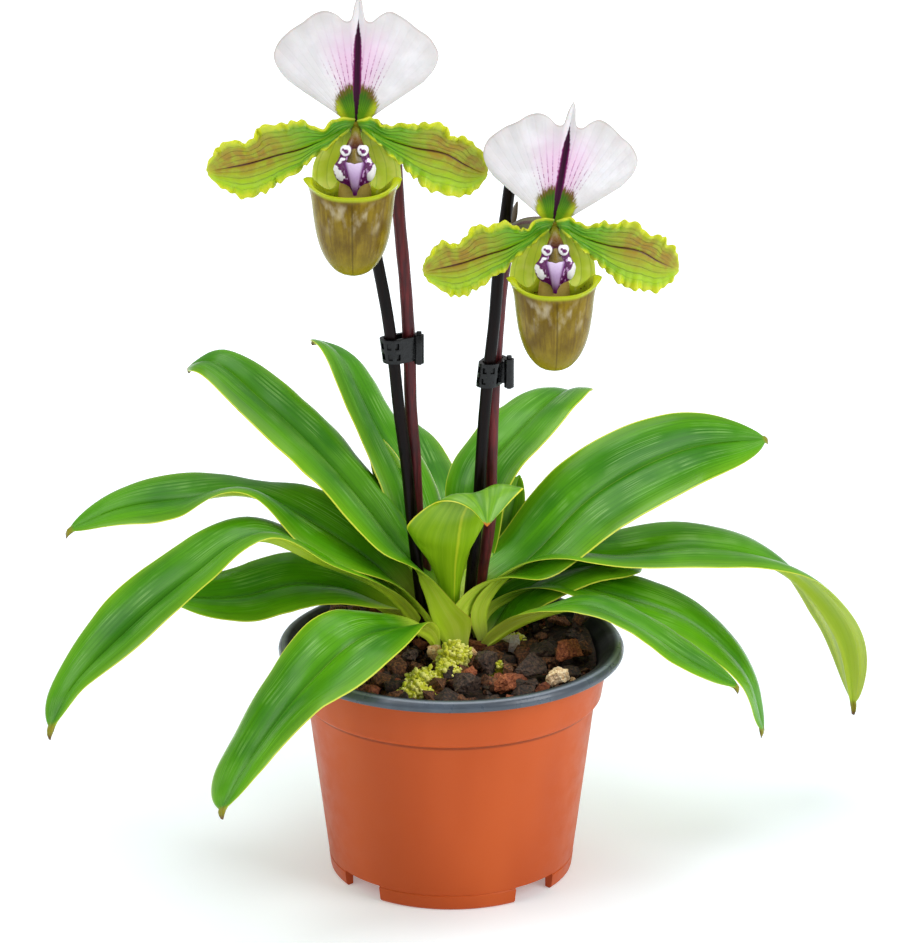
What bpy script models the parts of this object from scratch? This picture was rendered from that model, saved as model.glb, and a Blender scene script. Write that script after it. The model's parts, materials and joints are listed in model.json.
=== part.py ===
"""Potted slipper orchid: pot, growing mix, leaves, staked stems and two flowers.

Units in the tables are millimetres; +X is right, -Y is the front, +Z is up.
The tables are written about the pot's axis, and the last step moves everything so
that the origin lies under the middle of the whole plant, on the ground.
"""
import math

import bpy
import bmesh
from mathutils import Matrix, Vector

MM = 0.001                    # metres in a millimetre
GAP = 0.3                     # clearance between touching pieces
POT_AXIS = (-7.2, -22.3)      # where the pot stands, from the middle of the whole plant

# --- pot -----------------------------------------------------------------
POT_HEIGHT = 83.0             # top of the rolled lip
LIP_RADIUS = 60.0             # outside of the rolled lip
LIP_DEPTH = 3.6               # height of the rolled lip
BAND_TOP_RADIUS = 54.6
BAND_LOW_RADIUS = 52.2
BAND_LOW = 64.0               # where the upper band ends
STEP_RADIUS = 49.8
STEP_LOW = 60.5
BASE_RADIUS = 42.3
POT_WALL = 1.5
LINER_WALL = 1.2
FLOOR_LOW = 7.0               # underside of the raised floor
FLOOR_THICK = 1.6
FOOT_GAP_WIDTH = 17.5         # the four arches between the feet
FOOT_GAP_HEIGHT = 6.0
DRAIN_RADIUS = 4.0
DRAIN_RING = 24.0
POT_SEGMENTS = 48

# --- growing mix ---------------------------------------------------------
BED_TOP = 75.0

# --- stems, stakes and clips --------------------------------------------
STEM_RADIUS = 2.15
STAKE_RADIUS = 2.1
STAKE_BURIED = 40.0
CLIP_HEIGHT = 8.5
CLIP_WALL = 1.3
CLIP_WEB = 1.4                # web from the band to the hinge barrel
BARREL_RADIUS = 1.7
BARREL_HEIGHT = 10.0

# --- leaves --------------------------------------------------------------
LEAF_THICK = 1.1
LEAF_EDGE = 0.7
LEAF_STATIONS = 15
LEAF_ACROSS = (-1.0, -0.5, 0.0, 0.5, 1.0)
BLADE_FOLD = 7.0              # how far each half is lifted along the blade, degrees
BLADE_ARCH = 0.06             # how far each half bulges, share of its width
SHEATH_SHARE = 0.2            # base width over full width
WIDEST_AT = 0.55
LEAF_FOOT = BED_TOP + 0.75     # where a midrib starts, above the bed

# name: (base x, y), azimuth, half width, sheath fold, [(reach, side, height)], [roll],
# and for some the blade's fold and arch. Azimuth 0 points right and 90 points back;
# roll lifts the left-hand margin.
LEAVES = {
    "leaf_upper_left": (
        (1, 9), 158, 19.5, 76,
        [(5, 14, LEAF_FOOT), (11, 14, 94), (24, 7, 113), (64, 4, 156), (92, 1, 171), (102, -3, 167)],
        [76, 90, 22, -3, -10, -11]),
    "leaf_long_left": (
        (-6, 12), 177, 16, 30,
        [(9, 6, LEAF_FOOT), (19, -5, 104), (36, 2, 119), (65, 0, 131), (88, -2, 128), (110, -2, 124),
         (128, 2, 117)],
        [-12, 0, -28, 11, -14, -21, -22]),
    "leaf_arched_left": (
        (-10, 14), 204, 16.5, 71,
        [(4, 9, LEAF_FOOT), (42, 6, 108), (61, 2, 125), (88, 1, 112), (109, -2, 96), (129, -2, 78),
         (140, 8, 69)],
        [13, 1, 7, -5, -13, -6, -7]),
    "leaf_low_left": (
        (-9, 17), 186, 14.5, 57,
        [(2, -9, LEAF_FOOT), (17, -5, 88), (26, 0, 96), (45, 0, 99), (65, 0, 95), (91, 0, 96)],
        [-19, -6, -10, -25, -27, -22]),
    "leaf_front_left": (
        (-4, 6), 231, 17.5, 60,
        [(2, 8, LEAF_FOOT), (23, 6, 88), (53, 8, 98), (75, 1, 84), (98, -2, 65), (119, 5, 57)],
        [7, 17, -18, 11, 18, 18]),
    "leaf_tall_left": (
        (-3, 20), 126, 15.5, 62,
        [(0, -1, LEAF_FOOT), (14, -3, 99), (24, -2, 123), (42, 0, 147), (62, 1, 165), (82, -2, 166)],
        [25, 19, 18, 26, 28, 17]),
    "leaf_back_centre": (
        (0, 24), 102, 15.5, 52,
        [(1, 1, LEAF_FOOT), (25, 0, 97), (54, 0, 112), (88, -1, 119), (112, -4, 123)],
        [5, 4, 9, 8, 10]),
    "leaf_tall_right": (
        (8, 21), 62, 16, 63,
        [(-2, 2, LEAF_FOOT), (10, 3, 96), (18, 6, 129), (39, 0, 143), (64, -1, 148), (88, 3, 142)],
        [-24, -2, -11, -8, -9, -5]),
    "leaf_upper_right": (
        (9, 13), 32, 17, 62,
        [(0, -2, LEAF_FOOT), (0, -10, 95), (16, -7, 107), (55, 1, 124), (87, 0, 133), (125, 0, 131)],
        [-36, -1, 27, 35, 44, 48]),
    "leaf_long_right": (
        (12, 16), 20, 18, 49,
        [(0, -5, LEAF_FOOT), (17, 0, 103), (50, 2, 104), (83, 0, 100), (112, -3, 91), (134, -4, 65),
         (146, 2, 31)],
        [6, 15, 4, 9, -1, -15, -12]),
    "leaf_middle_right": (
        (12, 18), 24, 16, 51,
        [(5, 5, LEAF_FOOT), (14, 13, 89), (36, 5, 102), (58, 0, 101), (79, 0, 96)],
        [-13, 11, 12, 8, 8]),
    "leaf_arched_right": (
        (11, 17), 6, 13.5, 47,
        [(1, 2, LEAF_FOOT), (24, 3, 93), (52, 2, 89), (76, 1, 78), (93, -1, 61), (101, 0, 38)],
        [-11, -9, 21, 18, 16, 33]),
    "leaf_front_right": (
        (9, 8), -22, 13.5, 60,
        [(0, -4, LEAF_FOOT), (20, -2, 91), (40, -1, 98), (59, -1, 93), (77, -1, 84), (95, 1, 76)],
        [-11, -8, -5, -9, -2, 1]),
    "leaf_young": (
        (3, 3.5), 283, 17, 30,
        [(0, -1, LEAF_FOOT), (4, -2, 92), (2, -4, 114), (2, -3, 119), (6, 0, 134), (15, 0, 135),
         (25, 1, 126)],
        [8, -4, 1, 0, 0, 0, 0], -10, 0.28),
    "leaf_inner_left": (
        (-9, 23), 140, 9, 62,
        [(0, 0, LEAF_FOOT), (11, 0, 101), (25, 0, 125), (40, 0, 147)],
        [-13, 1, -3, -20], 25, 0),
    "leaf_inner_right": (
        (12, 24), 50, 9, 40,
        [(-2, 2, LEAF_FOOT), (10, 2, 99), (19, 2, 125), (20, 0, 138)],
        [6, -4, 17, 20], 25, 0),
}

# --- paths of the stems and stakes, from the bed up -------------------------
STEM_LEFT = [(-6, 18.5, BED_TOP + GAP), (-8.6, 15, 100), (-11.4, 12, 121), (-12.6, 10.4, 147),
             (-13.8, 8.6, 165), (-14.2, 7, 185), (-15.4, 5.4, 208), (-17.6, 4, 235), (-18.2, 3, 250)]
STAKE_LEFT = [(-8.6, 10.6, BED_TOP + GAP), (-11, 9, 100), (-13.3, 7.6, 122), (-15.6, 6.2, 147),
              (-17.6, 4.8, 163), (-19.6, 3, 184), (-21.6, 1.6, 200), (-25.2, 0, 221), (-27.6, -1, 235)]
STEM_RIGHT = [(8, 19.5, BED_TOP + GAP), (10.8, 16.5, 103), (13.3, 14, 121), (13.8, 12, 145),
              (14.6, 10.4, 172), (15.8, 9.4, 192), (17.4, 8.6, 211), (19.6, 7, 226)]
STAKE_RIGHT = [(4.4, 13.4, BED_TOP + GAP), (6.8, 10.8, 100), (9.6, 8, 134), (11.1, 6, 160),
               (12.4, 4.8, 176), (14.4, 3.6, 195), (16.2, 2.8, 218), (18.4, 2, 235), (20, 1.6, 248)]

# --- flowers: each in its own frame, from the point where the petals meet ------
SEPAL_FAN = 62.0              # half angle of the dorsal sepal's fan, degrees
SEPAL_EDGE = [(0.0, 38.0), (0.1, 34.0), (0.24, 36.5), (0.5, 35.8), (0.7, 35.4), (0.84, 34.0),
              (0.92, 30.0), (1.0, 24.0)]
PETAL_SPINE = [(3.6, 0, -3.6), (15, -1, -8), (25, -1.5, -11), (35, -1, -13.7), (48.5, 0.5, -17.2)]
PETAL_UPPER = [(0.0, 3.4), (0.12, 5.4), (0.25, 8.0), (0.4, 11.0), (0.55, 10.8), (0.7, 8.0), (0.85, 8.2),
               (1.0, 1.2)]
PETAL_LOWER = [(0.0, 1.8), (0.25, 3.8), (0.45, 8.2), (0.65, 11.4), (0.85, 8.8), (1.0, 1.2)]
POUCH_ROWS = [                # share down, half width, half depth, middle depth
    (0.0, 15.7, 10.6, -11.4), (0.07, 14.6, 10.6, -11.5), (0.16, 13.9, 10.8, -11.8),
    (0.36, 12.5, 10.8, -12.2), (0.56, 10.7, 10.0, -12.6), (0.73, 8.6, 8.6, -13.0),
    (0.86, 6.2, 6.4, -13.3), (0.96, 3.2, 3.2, -13.5)]
POUCH_MIDDLE = -0.9           # its middle, just left of the column's
POUCH_TOP = -20.4             # front of the rim
POUCH_DROP = 27.9             # from there to the toe
POUCH_BACK = 13.2             # how far its back rises above the front rim
POUCH_EARS = 2.8              # and its ears
POUCH_WALL = 0.9
POUCH_SIDES = 18

LEFT_FLOWER = {"centre": (-31.1, -18, 270.4), "yaw": 0.0, "lean": 1.0, "fan": 59.0, "size": 1.0}
RIGHT_FLOWER = {"centre": (33.7, -24, 238.3), "yaw": 4.0, "lean": 8.5, "fan": 54.0, "size": 0.97}

# --- loose pieces on the bed ------------------------------------------------
STONES = {                    # spot, width, height, seed, finish
    "stone_white": ((22, 14), 7, 4.5, 3, "pale"),
    "stone_cream": ((36, -21), 9, 6, 5, "pale"),
    "lava_red": ((41, -6), 10, 9, 8, "lava"),
    "bark_large": ((27, -14), 13, 8.5, 11, "bark"),
    "bark_front": ((6, -30), 12, 6, 13, "bark"),
    "lava_orange": ((18.5, -30), 8.5, 6.5, 17, "lava"),
    "bark_middle": ((12.5, -12), 9, 8, 19, "bark"),
    "lava_rust": ((5.5, -18.5), 6.5, 5, 23, "lava"),
    "bark_right": ((31, 3), 12, 5.5, 29, "bark"),
    "bark_back": ((38, 16), 8, 5, 31, "lava"),
    "bark_left": ((-15, -3), 7, 5, 37, "bark"),
    "bark_far_left": ((-22, 6), 7.5, 5, 41, "bark"),
    "chip_tan": ((-16, 19), 6, 4, 43, "pale"),
}
MOSSES = {                    # spot, width, height, seed
    "moss_crown": ((6.5, -5), 8.5, 5.5, 2),
    "moss_front": ((-4.5, -9.5), 8, 4, 4),
    "moss_left": ((-12, -18), 11, 4.5, 6),
    "moss_left_low": ((-11, -30), 10, 4.5, 12),
}


def clear_scene():
    """Empty the file, so that the script can run twice."""
    for obj in list(bpy.data.objects):
        bpy.data.objects.remove(obj, do_unlink=True)


def smooth_curve(points, count):
    """Read `count` points from a smooth curve through `points`."""
    pts = [Vector(p) for p in points]
    knots = [0.0]
    for a, b in zip(pts, pts[1:]):
        knots.append(knots[-1] + (b - a).length)
    slopes = []
    last = len(pts) - 1
    for i in range(len(pts)):
        lo = max(i - 1, 0)
        hi = min(i + 1, last)
        if 0 < i < last:
            h0 = knots[i] - knots[lo]
            h1 = knots[hi] - knots[i]
            before = (pts[i] - pts[lo]) / h0
            after = (pts[hi] - pts[i]) / h1
            slopes.append((before * h1 + after * h0) / (h0 + h1))
        else:
            slopes.append((pts[hi] - pts[lo]) / (knots[hi] - knots[lo]))
    out = []
    for k in range(count):
        s = knots[-1] * k / (count - 1)
        i = min(last - 1, max(j for j in range(last) if knots[j] <= s + 1e-9))
        h = knots[i + 1] - knots[i]
        t = (s - knots[i]) / h
        out.append(pts[i] * (2 * t**3 - 3 * t**2 + 1) + slopes[i] * (h * (t**3 - 2 * t**2 + t))
                   + pts[i + 1] * (3 * t**2 - 2 * t**3) + slopes[i + 1] * (h * (t**3 - t**2)))
    return out


def build_mesh(name, verts, faces, material, smooth=True):
    """Make a named object from points in millimetres, with its faces out."""
    mesh = bpy.data.meshes.new(name)
    mesh.from_pydata([Vector(v) * MM for v in verts], [], faces)
    work = bmesh.new()
    work.from_mesh(mesh)
    bmesh.ops.remove_doubles(work, verts=work.verts, dist=0.000001)
    bmesh.ops.triangulate(work, faces=work.faces)
    bmesh.ops.recalc_face_normals(work, faces=work.faces)
    work.to_mesh(mesh)
    work.free()
    if smooth:
        mesh.shade_smooth()
    obj = bpy.data.objects.new(name, mesh)
    bpy.context.scene.collection.objects.link(obj)
    mesh.materials.append(material)
    return obj


def make_material(name, colour, roughness, metallic=0.0):
    """A plain Principled finish."""
    material = bpy.data.materials.new(name)
    material.use_nodes = True
    shader = material.node_tree.nodes["Principled BSDF"]
    shader.inputs["Base Color"].default_value = (*colour, 1.0)
    shader.inputs["Roughness"].default_value = roughness
    shader.inputs["Metallic"].default_value = metallic
    return material


def lerp_table(table, x):
    """Read a value from (x, value) pairs, straight between them."""
    if x <= table[0][0]:
        return table[0][1]
    for (x0, y0), (x1, y1) in zip(table, table[1:]):
        if x <= x1:
            return y0 + (y1 - y0) * (x - x0) / (x1 - x0)
    return table[-1][1]


def ease(x):
    """A smooth step from 0 to 1."""
    x = min(max(x, 0.0), 1.0)
    return x * x * (3 - 2 * x)


# --- sheets: leaves, sepals and petals ------------------------------------

def grid_normals(grid):
    """The surface normal at each point of a grid of rows."""
    rows = len(grid)
    cols = len(grid[0])
    normals = []
    for i in range(rows):
        line = []
        for j in range(cols):
            along = grid[min(i + 1, rows - 1)][j] - grid[max(i - 1, 0)][j]
            across = grid[i][min(j + 1, cols - 1)] - grid[i][max(j - 1, 0)]
            line.append(along.cross(across).normalized())
        normals.append(line)
    return normals


def sheet_solid(name, grid, thickness, material):
    """Close a grid of points into a thin solid; thickness(i, j) in millimetres."""
    rows = len(grid)
    cols = len(grid[0])
    normals = grid_normals(grid)
    verts = []
    for side in (0.5, -0.5):
        for i in range(rows):
            for j in range(cols):
                verts.append(grid[i][j] + normals[i][j] * (side * thickness(i, j)))
    half = rows * cols
    faces = []
    for i in range(rows - 1):
        for j in range(cols - 1):
            a = i * cols + j
            rising = (grid[i][j] - grid[i + 1][j + 1]).length
            falling = (grid[i][j + 1] - grid[i + 1][j]).length
            if rising < falling:
                split = ((a, a + 1, a + cols + 1), (a, a + cols + 1, a + cols))
            else:
                split = ((a, a + 1, a + cols), (a + 1, a + cols + 1, a + cols))
            for corner in split:
                faces.append(corner)
                faces.append(tuple(half + k for k in reversed(corner)))
    rim = [(0, j) for j in range(cols)]
    rim += [(i, cols - 1) for i in range(1, rows)]
    rim += [(rows - 1, j) for j in range(cols - 2, -1, -1)]
    rim += [(i, 0) for i in range(rows - 2, 0, -1)]
    ids = [i * cols + j for i, j in rim]
    for a, b in zip(ids, ids[1:] + ids[:1]):
        faces.append((b, a, half + a, half + b))
    return build_mesh(name, verts, faces, material)


def leaf_width(t, sheath, widest):
    """Share of the full half width at t along the leaf."""
    if t < widest:
        return sheath + (1 - sheath) * math.sin(math.pi / 2 * t / widest)
    return max(0.06, (1 - ((t - widest) / (1 - widest)) ** 2.4) ** 0.75)


def leaf_grid(spec, stations, across):
    """Points over a leaf's middle surface, from its base to its tip."""
    base, azimuth, half_width, sheath_fold, path, rolls = spec[:6]
    fold, arch = spec[6:] if len(spec) > 6 else (BLADE_FOLD, BLADE_ARCH)
    angle = math.radians(azimuth)
    out = Vector((math.cos(angle), math.sin(angle), 0))
    side = Vector((-math.sin(angle), math.cos(angle), 0))
    origin = Vector((base[0], base[1], 0))
    spine = [origin + out * p.x + side * p.y + Vector((0, 0, p.z))
             for p in smooth_curve(path, stations)]
    knots = [0.0]
    for a, b in zip(path, path[1:]):
        knots.append(knots[-1] + (Vector(b) - Vector(a)).length)
    turns = [(k / knots[-1], roll) for k, roll in zip(knots, rolls)]
    grid = []
    for i, point in enumerate(spine):
        t = i / (stations - 1)
        ahead = spine[min(i + 1, stations - 1)] - spine[max(i - 1, 0)]
        ahead.normalize()
        flat = (side - ahead * side.dot(ahead)).normalized()
        up = ahead.cross(flat)
        roll = math.radians(lerp_table(turns, t))
        flat, up = (flat * math.cos(roll) + up * math.sin(roll),
                    up * math.cos(roll) - flat * math.sin(roll))
        bend = math.radians(fold + (sheath_fold - fold) * (1 - ease(t / 0.55)))
        width = half_width * leaf_width(t, SHEATH_SHARE, WIDEST_AT)
        bulge = arch * ease(t / 0.4)
        row = []
        for u in across:
            lift = abs(u) * math.sin(bend) + bulge * 4 * abs(u) * (1 - abs(u))
            row.append(point + flat * (width * u * math.cos(bend)) + up * (width * lift))
        grid.append(row)
    return grid


def make_leaf(name, spec, material):
    """One strap leaf, thickest along its midrib."""
    grid = leaf_grid(spec, LEAF_STATIONS, LEAF_ACROSS)

    def thickness(i, j):
        return LEAF_THICK + (LEAF_EDGE - LEAF_THICK) * abs(LEAF_ACROSS[j])

    return sheet_solid(name, grid, thickness, material)


# --- tubes: stems, stakes, ovaries and columns ----------------------------

def tube(name, points, widths, depths, material, sides=8, facing=(0, -1, 0)):
    """Loft ellipses along a path; widths lie across `facing`, depths along it."""
    rings = []
    last = len(points) - 1
    for i, point in enumerate(points):
        ahead = (points[min(i + 1, last)] - points[max(i - 1, 0)]).normalized()
        front = Vector(facing)
        front = (front - ahead * front.dot(ahead)).normalized()
        right = ahead.cross(front)
        ring = []
        for k in range(sides):
            a = 2 * math.pi * k / sides
            ring.append(point + right * (widths[i] * math.cos(a)) + front * (depths[i] * math.sin(a)))
        rings.append(ring)
    return loft(name, rings, material)


def loft(name, rings, material, smooth=True):
    """Join rings of equal length into one closed solid with flat ends."""
    sides = len(rings[0])
    verts = [v for ring in rings for v in ring]
    faces = []
    for i in range(len(rings) - 1):
        for k in range(sides):
            a = i * sides + k
            b = i * sides + (k + 1) % sides
            faces.append((a, b, b + sides, a + sides))
    faces.append(tuple(reversed(range(sides))))
    faces.append(tuple((len(rings) - 1) * sides + k for k in range(sides)))
    return build_mesh(name, verts, faces, material, smooth)


# --- pot and bed -----------------------------------------------------------

def pot_radius(z):
    """Outside radius of the terracotta wall at height z."""
    return lerp_table([(0.0, BASE_RADIUS), (STEP_LOW, STEP_RADIUS), (BAND_LOW, BAND_LOW_RADIUS),
                       (POT_HEIGHT - LIP_DEPTH, BAND_TOP_RADIUS)], z)


def revolve(name, profile, segments, material):
    """Turn a closed profile of (radius, height) points about the pot's axis."""
    work = bmesh.new()
    verts = [work.verts.new((r * MM, 0, z * MM)) for r, z in profile]
    edges = [work.edges.new((a, b)) for a, b in zip(verts, verts[1:] + verts[:1])]
    bmesh.ops.spin(work, geom=verts + edges, axis=(0, 0, 1), cent=(0, 0, 0),
                   steps=segments, angle=2 * math.pi, use_duplicate=False)
    bmesh.ops.remove_doubles(work, verts=work.verts, dist=0.00001)
    thin = [f for f in work.faces if f.calc_area() < 1e-12]
    bmesh.ops.delete(work, geom=thin, context="FACES_ONLY")
    bmesh.ops.recalc_face_normals(work, faces=work.faces)
    mesh = bpy.data.meshes.new(name)
    work.to_mesh(mesh)
    work.free()
    mesh.shade_smooth()
    mesh.set_sharp_from_angle(angle=math.radians(35))
    obj = bpy.data.objects.new(name, mesh)
    bpy.context.scene.collection.objects.link(obj)
    mesh.materials.append(material)
    return obj


def hide_cutter(obj):
    """Mark a solid as a tool that only shapes others."""
    obj.hide_render = True
    obj.display_type = "WIRE"
    return obj


def cut(obj, tool, operation="DIFFERENCE"):
    """Shape one solid with another."""
    modifier = obj.modifiers.new(tool.name, "BOOLEAN")
    modifier.operation = operation
    modifier.solver = "EXACT"
    modifier.object = tool


def box_tool(name, size, centre, turn=0.0):
    """A hidden box, turned about the vertical through the origin."""
    sx, sy, sz = (s / 2 for s in size)
    verts = [(x * sx, y * sy, z * sz) for x in (-1, 1) for y in (-1, 1) for z in (-1, 1)]
    spin = Matrix.Rotation(turn, 3, "Z")
    verts = [spin @ (Vector(v) + Vector(centre)) for v in verts]
    faces = [(0, 1, 3, 2), (4, 6, 7, 5), (0, 4, 5, 1), (2, 3, 7, 6), (0, 2, 6, 4), (1, 5, 7, 3)]
    return hide_cutter(build_mesh(name, verts, faces, FINISH["mix"], smooth=False))


def round_tool(name, centre, radius, low, high, sides=12):
    """A hidden upright cylinder."""
    x, y = centre
    rings = [[Vector((x + radius * math.cos(2 * math.pi * k / sides),
                      y + radius * math.sin(2 * math.pi * k / sides), z)) for k in range(sides)]
             for z in (low, high)]
    return hide_cutter(loft(name, rings, FINISH["mix"], smooth=False))


def make_pot():
    """The terracotta shell with its feet, and the dark liner with its lip."""
    top = POT_HEIGHT - LIP_DEPTH - GAP
    floor_top = FLOOR_LOW + FLOOR_THICK
    shell = [(pot_radius(top), top), (BAND_LOW_RADIUS, BAND_LOW), (STEP_RADIUS + 1.6, BAND_LOW - 1.2),
             (STEP_RADIUS, STEP_LOW), (BASE_RADIUS + 0.3, 1.2), (BASE_RADIUS - 0.5, 0),
             (BASE_RADIUS - 2.8, 0), (BASE_RADIUS - 2.8, FLOOR_LOW), (0, FLOOR_LOW), (0, floor_top),
             (pot_radius(floor_top) - POT_WALL, floor_top), (STEP_RADIUS - POT_WALL, STEP_LOW - 0.5),
             (BAND_LOW_RADIUS - POT_WALL, BAND_LOW - 0.5), (pot_radius(top) - POT_WALL, top)]
    pot = revolve("pot_shell", shell, POT_SEGMENTS, FINISH["terracotta"])
    inset = POT_WALL + GAP
    inner = inset + LINER_WALL
    low = floor_top + GAP
    lip = POT_HEIGHT - LIP_DEPTH
    liner = [(pot_radius(lip) - inset, lip), (BAND_LOW_RADIUS - inset, BAND_LOW - 0.5),
             (STEP_RADIUS - inset, STEP_LOW - 0.5), (pot_radius(low) - inset, low), (0, low),
             (0, low + LINER_WALL), (pot_radius(low) - inner, low + LINER_WALL),
             (STEP_RADIUS - inner, STEP_LOW - 0.5), (BAND_LOW_RADIUS - inner, BAND_LOW - 0.5),
             (pot_radius(lip) - inner, lip), (LIP_RADIUS - 4.2, POT_HEIGHT - 0.8),
             (LIP_RADIUS - 3.0, POT_HEIGHT), (LIP_RADIUS - 1.4, POT_HEIGHT),
             (LIP_RADIUS, POT_HEIGHT - 1.4), (LIP_RADIUS, lip + 0.9), (LIP_RADIUS - 0.9, lip)]
    lining = revolve("pot_liner", liner, POT_SEGMENTS, FINISH["lip"])
    for k in range(4):
        arch = box_tool(f"foot_arch_{k}", (20, FOOT_GAP_WIDTH, 2 * FOOT_GAP_HEIGHT), (42, 0, 0),
                        math.radians(45 + 90 * k))
        cut(pot, arch)
        spot = math.radians(90 * k)
        drain = round_tool(f"drain_{k}", (DRAIN_RING * math.cos(spot), DRAIN_RING * math.sin(spot)),
                           DRAIN_RADIUS, 4, 12)
        cut(pot, drain)
        cut(lining, drain)


def make_bed(bores):
    """The packed growing mix, with a trench for the rhizome and a bore for each stake."""
    inset = POT_WALL + GAP + LINER_WALL + GAP
    liner_low = FLOOR_LOW + FLOOR_THICK + GAP
    low = liner_low + LINER_WALL + GAP
    profile = [(0, low), (pot_radius(liner_low) - inset, low), (STEP_RADIUS - inset, STEP_LOW - 0.5),
               (BAND_LOW_RADIUS - inset, BAND_LOW - 0.5), (pot_radius(BED_TOP) - inset, BED_TOP),
               (0, BED_TOP)]
    bed = revolve("growing_mix", profile, POT_SEGMENTS, FINISH["mix"])
    cut(bed, box_tool("rhizome_trench", (38, 9.6, 20), (2.5, 21, BED_TOP + 0.3)))
    for bore in bores:
        cut(bed, bore)


def make_rhizome():
    """The short rooted stock that the stems stand on, flush with the mix."""
    points = [Vector((x, 21, BED_TOP - 4.4)) for x in (-15.5, -13, -4, 3, 10, 18, 20.5)]
    sizes = [2.6, 4.2, 4.4, 3.8, 4.4, 4.2, 2.6]
    tube("rhizome", points, sizes, sizes, FINISH["rhizome"], facing=(0, 0, 1))


# --- stems, stakes and clips ------------------------------------------------

def along(path, z):
    """The point of a rising path at height z."""
    for a, b in zip(path, path[1:]):
        if z <= b[2]:
            t = (z - a[2]) / (b[2] - a[2])
            return Vector(a).lerp(Vector(b), t)
    return Vector(path[-1])


def make_stem(name, path):
    """A flower stem, standing on the rhizome."""
    points = smooth_curve(path, 16)
    radii = [STEM_RADIUS] * len(points)
    tube(name, points, radii, radii, FINISH["stem"])


def make_stake(name, path):
    """A support stake pushed down into the mix; returns the cutter of its bore."""
    lean = (Vector(path[1]) - Vector(path[0])).normalized()
    foot = Vector(path[0]) - lean * STAKE_BURIED
    points = [foot] + smooth_curve(path, 14)
    radii = [STAKE_RADIUS] * len(points)
    tube(name, points, radii, radii, FINISH["stake"])
    wide = STAKE_RADIUS + 0.5
    bore = [foot - lean * 0.4, Vector(path[0]) + lean * 4]
    return hide_cutter(tube(name + "_bore", bore, [wide] * 2, [wide] * 2, FINISH["mix"], sides=12))


def stadium(a, b, radius, z, steps=8):
    """A ring of points round two centres in plan."""
    ahead = Vector((b.x - a.x, b.y - a.y, 0)).normalized()
    start = math.atan2(ahead.y, ahead.x)
    ring = []
    for centre, first in ((b, start - math.pi / 2), (a, start + math.pi / 2)):
        for k in range(steps + 1):
            angle = first + math.pi * k / steps
            ring.append(Vector((centre.x + radius * math.cos(angle),
                                centre.y + radius * math.sin(angle), z)))
    return ring


def make_clip(name, stake_path, stem_path, height, barrel):
    """A snap clip: one band round stake and stem, a hinge barrel and two rows of windows."""
    inner = STEM_RADIUS + 0.4
    outer = inner + CLIP_WALL
    stake = along(stake_path, height)
    stem = along(stem_path, height)

    def band_rings(radius, reach):
        levels = (height - reach, height + reach)
        return [stadium(along(stake_path, z), along(stem_path, z), radius, z) for z in levels]

    band = loft(name, band_rings(outer, CLIP_HEIGHT / 2), FINISH["clip"], False)
    hub = Vector((barrel[0], barrel[1], height))
    middle = (stake + stem) / 2
    reach = hub - middle
    turn = math.atan2(reach.y, reach.x)
    web_middle = middle.lerp(hub, 0.5 + 0.5 * inner / reach.length)
    web = box_tool(name + "_web", (reach.length - inner - 0.6, CLIP_WEB, CLIP_HEIGHT - 2), (0, 0, 0))
    for vert in web.data.vertices:
        vert.co = Matrix.Rotation(turn, 3, "Z") @ vert.co + web_middle * MM
    cut(band, web, "UNION")
    rings = [[hub + Vector((BARREL_RADIUS * math.cos(math.pi * k / 5),
                            BARREL_RADIUS * math.sin(math.pi * k / 5), z)) for k in range(10)]
             for z in (-BARREL_HEIGHT / 2, BARREL_HEIGHT / 2)]
    cut(band, hide_cutter(loft(name + "_barrel", rings, FINISH["clip"], False)), "UNION")
    hollow = band_rings(inner, CLIP_HEIGHT / 2 + 1)
    cut(band, hide_cutter(loft(name + "_hollow", hollow, FINISH["clip"], False)))
    away = (stake - stem)
    away.z = 0
    away.normalize()
    for row, offset in enumerate((-1.9, 1.9)):
        for k, swing in enumerate((-1.0, 0.0, 1.0)):
            face = Matrix.Rotation(swing, 3, "Z") @ away
            centre = along(stake_path, height + offset) + face * outer
            turn = math.atan2(face.y, face.x)
            spin = Matrix.Rotation(turn, 3, "Z")
            window = box_tool(f"{name}_window_{row}{k}", (3.4, 1.7, 1.5), (0, 0, 0))
            for vert in window.data.vertices:
                vert.co = spin @ vert.co + centre * MM
            cut(band, window)


# --- flowers ----------------------------------------------------------------

def place(flower, point, lean=0.0):
    """Move a point from the flower's own frame to the plant's."""
    p = Vector(point) * flower["size"]
    p = Matrix.Rotation(math.radians(lean), 3, "Y") @ p
    p = Matrix.Rotation(math.radians(flower["yaw"]), 3, "Z") @ p
    return p + Vector(flower["centre"])


def make_dorsal_sepal(name, flower):
    """The upright fan behind the petals, with a fold to its pointed tip."""
    grid = []
    for v in (0.0, 0.15, 0.35, 0.55, 0.75, 0.9, 1.0):
        row = []
        for k in range(13):
            u = k / 6 - 1
            reach = lerp_table(SEPAL_EDGE, abs(u)) * v
            angle = math.radians((flower["fan"] if u > 0 else SEPAL_FAN) * u)
            x = reach * math.sin(angle) + 3.6 * u * (1 - v)
            depth = 2.2 - 3.0 * v + 5.5 * (u * v) ** 2
            row.append(place(flower, (x, depth, 0.4 + reach * math.cos(angle)), flower["lean"]))
        grid.append(row)
    sheet_solid(name, grid, lambda i, j: 0.8, FINISH["sepal"])


def make_synsepal(name, flower):
    """The fused lower sepal, a shallow scoop behind the pouch."""
    grid = []
    for v, half in ((0.0, 3.0), (0.2, 9.5), (0.45, 14.0), (0.7, 13.0), (0.9, 8.0), (1.0, 3.0)):
        row = []
        for k in range(7):
            u = k / 3 - 1
            depth = 3.4 + 3.0 * v - 2.0 * u * u * math.sin(math.pi * v)
            row.append(place(flower, (half * u, depth, -6.1 - 22 * v)))
        grid.append(row)
    sheet_solid(name, grid, lambda i, j: 0.8, FINISH["synsepal"])


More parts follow.
